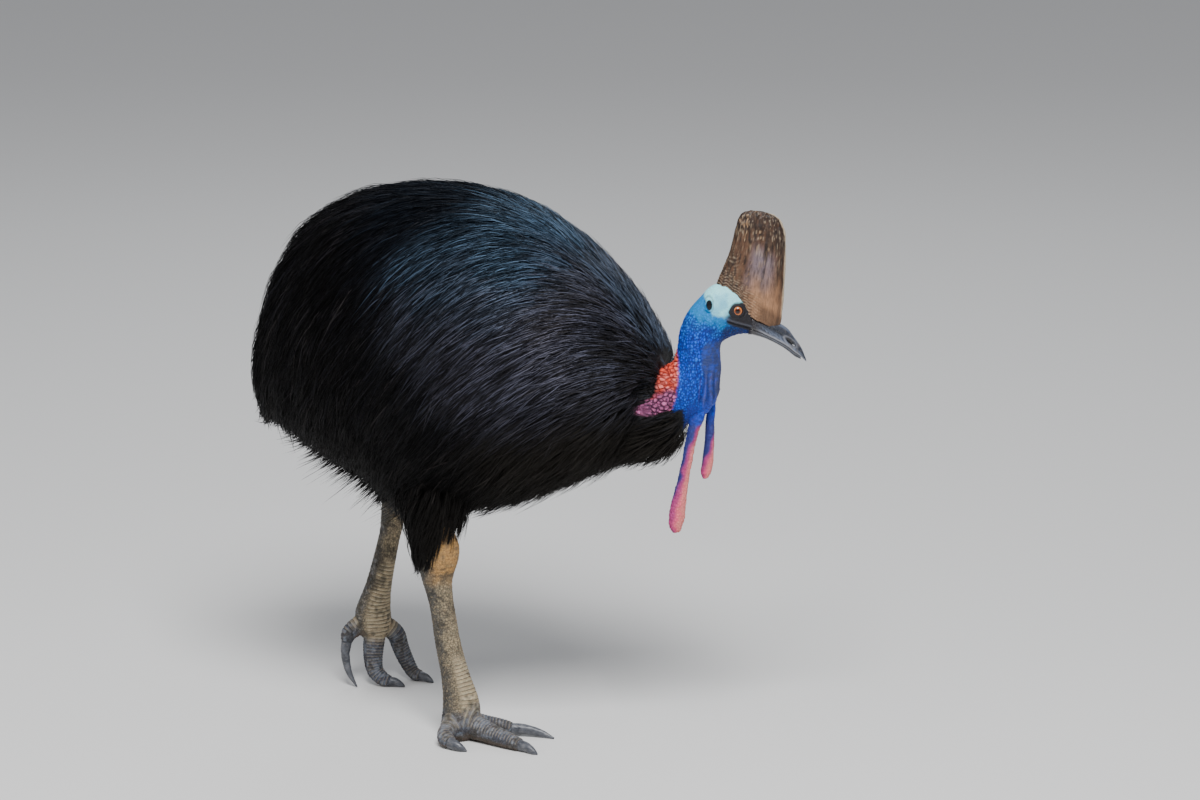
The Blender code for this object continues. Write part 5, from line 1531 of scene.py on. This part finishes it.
def from_neck(points):
    """How far points are from the neck's base."""
    return np.linalg.norm(points - NECK_BASE, axis=1)


def body_lie(points):
    """Which way the body's feathers point: away from the neck's base, and down more and more."""
    far = from_neck(points)[:, None]
    tail = (ramp(points[:, 0], -0.28, -0.40) * ramp(points[:, 2], 0.76, 0.64))[:, None]
    return (points - NECK_BASE) / far - UPWARD * DROOP * np.minimum(far, DROOP_UNTIL) * (1 - TAIL_LIFT * tail)


def calm(roots):
    """How evenly the feathers lie, from 0 on the shaggy rump and belly to 1 on the back and shoulders."""
    return ramp(roots[:, 0], -0.14, 0.04) * ramp(roots[:, 2], 0.50, 0.72)


# Where the coat changes: x at each z from which it has painted sheen; z at each x from which it has a painted
# blue sky reflection; at each x, the share of the half width where the shoulder's hollow has painted shade;
# and the middle of a patch where the painted sheen turns brown.
PAINTED_SHEEN_FROM = ((0.66, 0.74, 0.84), (0.06, 0.02, -0.03))
BLUE_FROM = ((0.04, 0.18), (0.84, 0.745))
SHADED_HOLLOW = ((0.289, 0.383), (0.41, 0.97))
BROWN_PATCH = np.array((0.295, 0.0, 0.790))


def markings(where, shine, seed):
    """For strands rooted there: their own shine, and how much painted blue sky reflection, brown and painted
    sheen they have, from 0 to 1.
    """
    x, y, z = where.T
    beside = np.abs(y)
    patchy = clouds(where, 0.05, seed + 2)
    # a patch on the shoulder where the painted sheen turns brown instead of blue
    to_brown_patch = np.linalg.norm((where - BROWN_PATCH) * (1, 0, 1), axis=1)
    nape = np.linalg.norm((where - NECK_BASE) * (1.0, 0.5, 1.0), axis=1)
    # painted sheen and shade: ahead of a slanting line over the back and flank, strands are lightened and
    # made glossier in place of their highlights; behind it and low on the body they stay dull and dark
    painted_sheen = ramp(x - np.interp(z, *PAINTED_SHEEN_FROM) + (patchy - 0.5) * 0.06, 0.00, 0.08)
    painted_sheen *= (0.55 + 0.45 * ramp(x, 0.10, 0.25)) * ramp(z, 0.575, 0.72)
    # painted shade: far less sheen along the top of the back, behind the shoulder
    painted_sheen *= 1 - 0.95 * ramp(z + x * 0.12, 0.925, 0.958) * ramp(x, 0.20, 0.10)
    out = beside / np.interp(x, *np.array(PLUMAGE)[:, (0, 3)].T)
    # painted shade: less painted sheen in the shoulder's hollow
    hollow = ridge(out, np.interp(x, *SHADED_HOLLOW), 0.16) * ramp(x, 0.310, 0.345)
    painted_sheen *= 1 - 0.75 * hollow * ramp(z, 0.62, 0.68)
    painted_sheen = np.maximum(painted_sheen, 0.09 * ramp(shine, 0.50, 0.95) * ramp(z, 0.52, 0.72))
    # painted blue sky reflection: high on the back and shoulders, less down the shoulders' sides and on the
    # brown patch, and more along the mantle's middle
    blue_from = np.interp(x, *BLUE_FROM)
    blue = ramp(x, -0.12, 0.02) * (0.12 + 0.88 * ramp(z, blue_from, blue_from + 0.13)) * (0.6 + 0.8 * patchy)
    blue *= 1 - 0.5 * ramp(beside, 0.085, 0.145) * ramp(x, 0.08, 0.16)
    blue *= 1 - 0.7 * ramp(to_brown_patch, 0.06, 0.03)
    blue += 0.4 * ramp(x, 0.26, 0.30) * ramp(beside, 0.045, 0.02)
    brown = np.maximum(0.55 * ramp(nape, 0.13, 0.07), 0.55 * ramp(z, 0.56, 0.42) * ramp(x, -0.10, 0.06))
    brown = np.maximum(brown, ramp(z, 0.65, 0.59) * ramp(x, 0.08, 0.24)) * (0.6 + 0.4 * patchy)
    brown = np.maximum(brown, 0.6 * ramp(to_brown_patch, 0.05, 0.02))
    return np.stack((shine, np.clip(blue, 0.0, 1.0), brown, painted_sheen), 1)


def coat(rings, lie, seed, count, per_tuft, spread, length, depth, width, limit, keep, density):
    """All the strands of a coat over one surface: points, places on the map, tones and roots.

    The last six are functions of the roots: the tufts' length, how deep the hide is under the outline, the
    strands' width, how far they may hang free, which roots are used, and the share of those that are.
    """
    rng = np.random.default_rng(seed)
    surface = Surface(rings)
    roots, spots = roots_over(rings, count)
    kept = keep(roots) & (rng.random(count) < density(roots))
    roots, spots = roots[kept], spots[kept]
    even = calm(roots)
    sway = (clouds(roots, 0.060, seed) - 0.5) * (0.50 - 0.37 * even)
    sway += rng.normal(0.0, 1.0, len(roots)) * (0.07 - 0.045 * even)
    lengths = length(roots) * rng.uniform(0.82, 1.15, len(roots))
    path, outward = combed(surface, roots, lie, lengths, sway, limit(roots))
    tuft = np.repeat(np.arange(len(roots)), per_tuft)
    total = len(tuft)
    calmed = even[tuft]
    start = rng.uniform(0.0, 0.30, total)
    reach = rng.uniform(0.62, 0.92, total) - 0.16 * rng.random(total) * (1 - calmed)
    wild = rng.random(total) < 0.14 - 0.09 * calmed
    reach[wild] += 0.14
    size = spread * np.clip(lengths / 0.15, 0.45, 1.1)[tuft]
    aside = [rng.normal(0.0, 0.8, total) * size, rng.normal(0.0, 1.0, total) * size]
    aside[1] *= np.where(wild, 2.4, 1.0) * (0.52 + 0.10 * calmed)
    layer = (rng.uniform(-0.0005, 0.0080, len(roots)) * (1 - 0.4 * even))[tuft]
    layer += rng.normal(0.0, 0.0008, total)
    layer[wild] -= 0.007 - 0.004 * calmed[wild]
    widths = width(roots)[tuft] * rng.uniform(0.75, 1.2, total)
    sunk = depth(roots)[tuft] + ROOT_DEPTH
    points = strands(path, outward, tuft, start, reach, aside, sunk, layer, widths, rng)
    shine = rng.random(total) * 0.78 + rng.random(len(roots))[tuft] * 0.22
    where = roots[tuft]
    return points, spots[tuft], markings(where, shine, seed), where


def steady(value):
    """A function that gives the same number, or the same direction, at every point."""
    return lambda points: np.tile(value, (len(points), 1) if np.ndim(value) else len(points))


def read_off(table, axis, start=0.0):
    """A function that reads a number off a table by each point's place on an axis, counted from a start."""
    return lambda points: np.interp(points[:, axis] - start, *table)


# The body: length and width by the distance from the neck's base, depth and density by x.
BODY_LENGTHS = ((0.04, 0.10, 0.25, 0.50, 0.66, 0.80), (0.045, 0.080, 0.135, 0.180, 0.185, 0.150))
BODY_WIDTHS = ((0.05, 0.20, 0.45), (0.0012, 0.0015, 0.0019))
BODY_DEPTHS = ((-0.40, -0.20, 0.10, 0.28, 0.39), (0.036, 0.026, 0.020, 0.013, 0.012))
BODY_DENSITY = ((-0.40, 0.15, 0.24, 0.30, 0.39), (0.72, 0.72, 0.9, 1.0, 1.0))
BODY_FRONT, FRONT_OVER = 0.365, 0.655  # ahead of this x, the body has feathers over this z only
FALLS_AT = (0.015, -0.130)  # x where the coat falls over the right and the left thigh


def body_lengths(roots):
    """How long the body's tufts are."""
    tail = ramp(np.linalg.norm(roots - TAIL, axis=1), 0.04, 0.20)
    return np.interp(from_neck(roots), *BODY_LENGTHS) * (0.48 + 0.52 * tail)


def body_limit(roots):
    """How far the tips may hang off the body: a little, unevenly, but far where they fall over the thighs."""
    x, y, z = roots.T
    falls = (np.abs(x - np.where(y < 0, *FALLS_AT)) < 0.095) & (np.abs(y) > 0.09) & (z < 0.62)
    loose = np.maximum(ramp(x, -0.20, -0.34), ramp(x, 0.02, 0.10) * ramp(x, 0.34, 0.26))
    loose += ramp(x, -0.30, -0.37) * ramp(z, 0.50, 0.58) * ramp(z, 0.80, 0.66)
    return np.where(falls, 0.085, 0.003 + (0.016 + 0.012 * loose) * clouds(roots, 0.006, 78))


points, spots, tones, where = coat(
    plumage_rings(fine(PLUMAGE, 4), inset=0.0, sides=96), body_lie,
    seed=5, count=10400, per_tuft=9, spread=0.010,
    length=body_lengths,
    depth=read_off(BODY_DEPTHS, 0),
    width=lambda roots: np.interp(from_neck(roots), *BODY_WIDTHS),
    limit=body_limit,
    keep=lambda roots: (roots[:, 0] < BODY_FRONT) | (roots[:, 2] > FRONT_OVER),
    density=read_off(BODY_DENSITY, 0))
BANDS = {  # x from which each stretch of the coat runs, and to which
    "rump": (-9.0, -0.24), "croup": (-0.24, -0.10), "saddle": (-0.10, 0.03), "back": (0.03, 0.16),
    "shoulder": (0.16, 0.27), "mantle": (0.27, 9.0),
}
for band, (low, high) in BANDS.items():
    for side, sign in (("right", -1), ("left", 1)):
        mine = (where[:, 0] >= low) & (where[:, 0] < high) & (where[:, 1] * sign >= 0)
        feather_piece(f"feathers_{band}_{side}", points[mine], spots[mine], tones[mine])

# The lower neck: behind the edge of the mantle's tip, and under that of the collar round its front.
NECK_LENGTHS = ((0.24, 0.40, 0.46), (0.130, 0.085, 0.050))  # x, length


def on_neck(roots):
    """Which roots are behind the mantle's edge or under the collar's."""
    x, _, z = roots.T
    collar = (z < np.interp(x, *COLLAR_EDGE) - 0.004) & (x > 0.245) & (x < 0.428)
    mantle = (x < np.interp(z, *MANTLE_EDGE) - 0.002) & (x > 0.31) & (z > 0.60)
    return collar | mantle


neck_coat = [(a, b, c + COLLAR, d - COLLAR, w + COLLAR, t) for a, b, c, d, w, t in NECK[:5]] + [NECK[5]]
points, spots, tones, where = coat(
    [neck_ring(*row) for row in fine(neck_coat, 6)], steady((-1.0, 0.0, -0.38)),
    seed=6, count=1700, per_tuft=8, spread=0.005,
    length=read_off(NECK_LENGTHS, 0),
    depth=steady(COLLAR),
    width=steady(0.0013),
    limit=steady(0.008),
    keep=on_neck,
    density=steady(1.0))
feather_piece("feathers_neck", points, spots, tones)

# The thighs: z is counted on the right thigh, and x from the thigh's middle.
THIGH_TAPER = ((0.30, 0.36, 0.46), (0.84, 0.97, 1.0))  # z, and the feathers' share of the thigh's size
THIGH_LENGTHS = ((-0.05, 0.05), (0.100, 0.070))  # x, length
THIGH_DEPTHS = ((0.33, 0.45), (0.006, 0.018))  # z, depth
THIGH_HEM = ((-0.035, 0.015, 0.042), (0.326, 0.342, 0.415))  # x, and z of the lowest roots
THIGH_TOP = 0.480  # z of the highest ones, under the body's coat
THIGH_DENSITY = ((0.42, 0.46), (1.0, 0.6))  # z, share of roots
for side, drop in (("right", 0.0), ("left", THIGHS["left"][3][2] - THIGHS["right"][3][2])):
    middle = THIGHS[side][2][0]
    rows = fine(THIGHS[side], 5)
    rows[:, 3:] *= np.interp(rows[:, 2] - drop, *THIGH_TAPER)[:, None]
    hem = read_off(THIGH_HEM, 0, middle)
    points, spots, tones, where = coat(
        leg_rings(rows, HEADINGS[side], 64), steady((-0.30, 0.0, -1.0)),
        seed=7, count=900, per_tuft=8, spread=0.007,
        length=read_off(THIGH_LENGTHS, 0, middle),
        depth=read_off(THIGH_DEPTHS, 2, drop),
        width=steady(0.0017),
        limit=steady(0.012),
        keep=lambda roots: (roots[:, 2] - drop > hem(roots)) & (roots[:, 2] - drop < THIGH_TOP),
        density=read_off(THIGH_DENSITY, 2, drop))
    feather_piece("feathers_thigh_" + side, points, spots, tones)
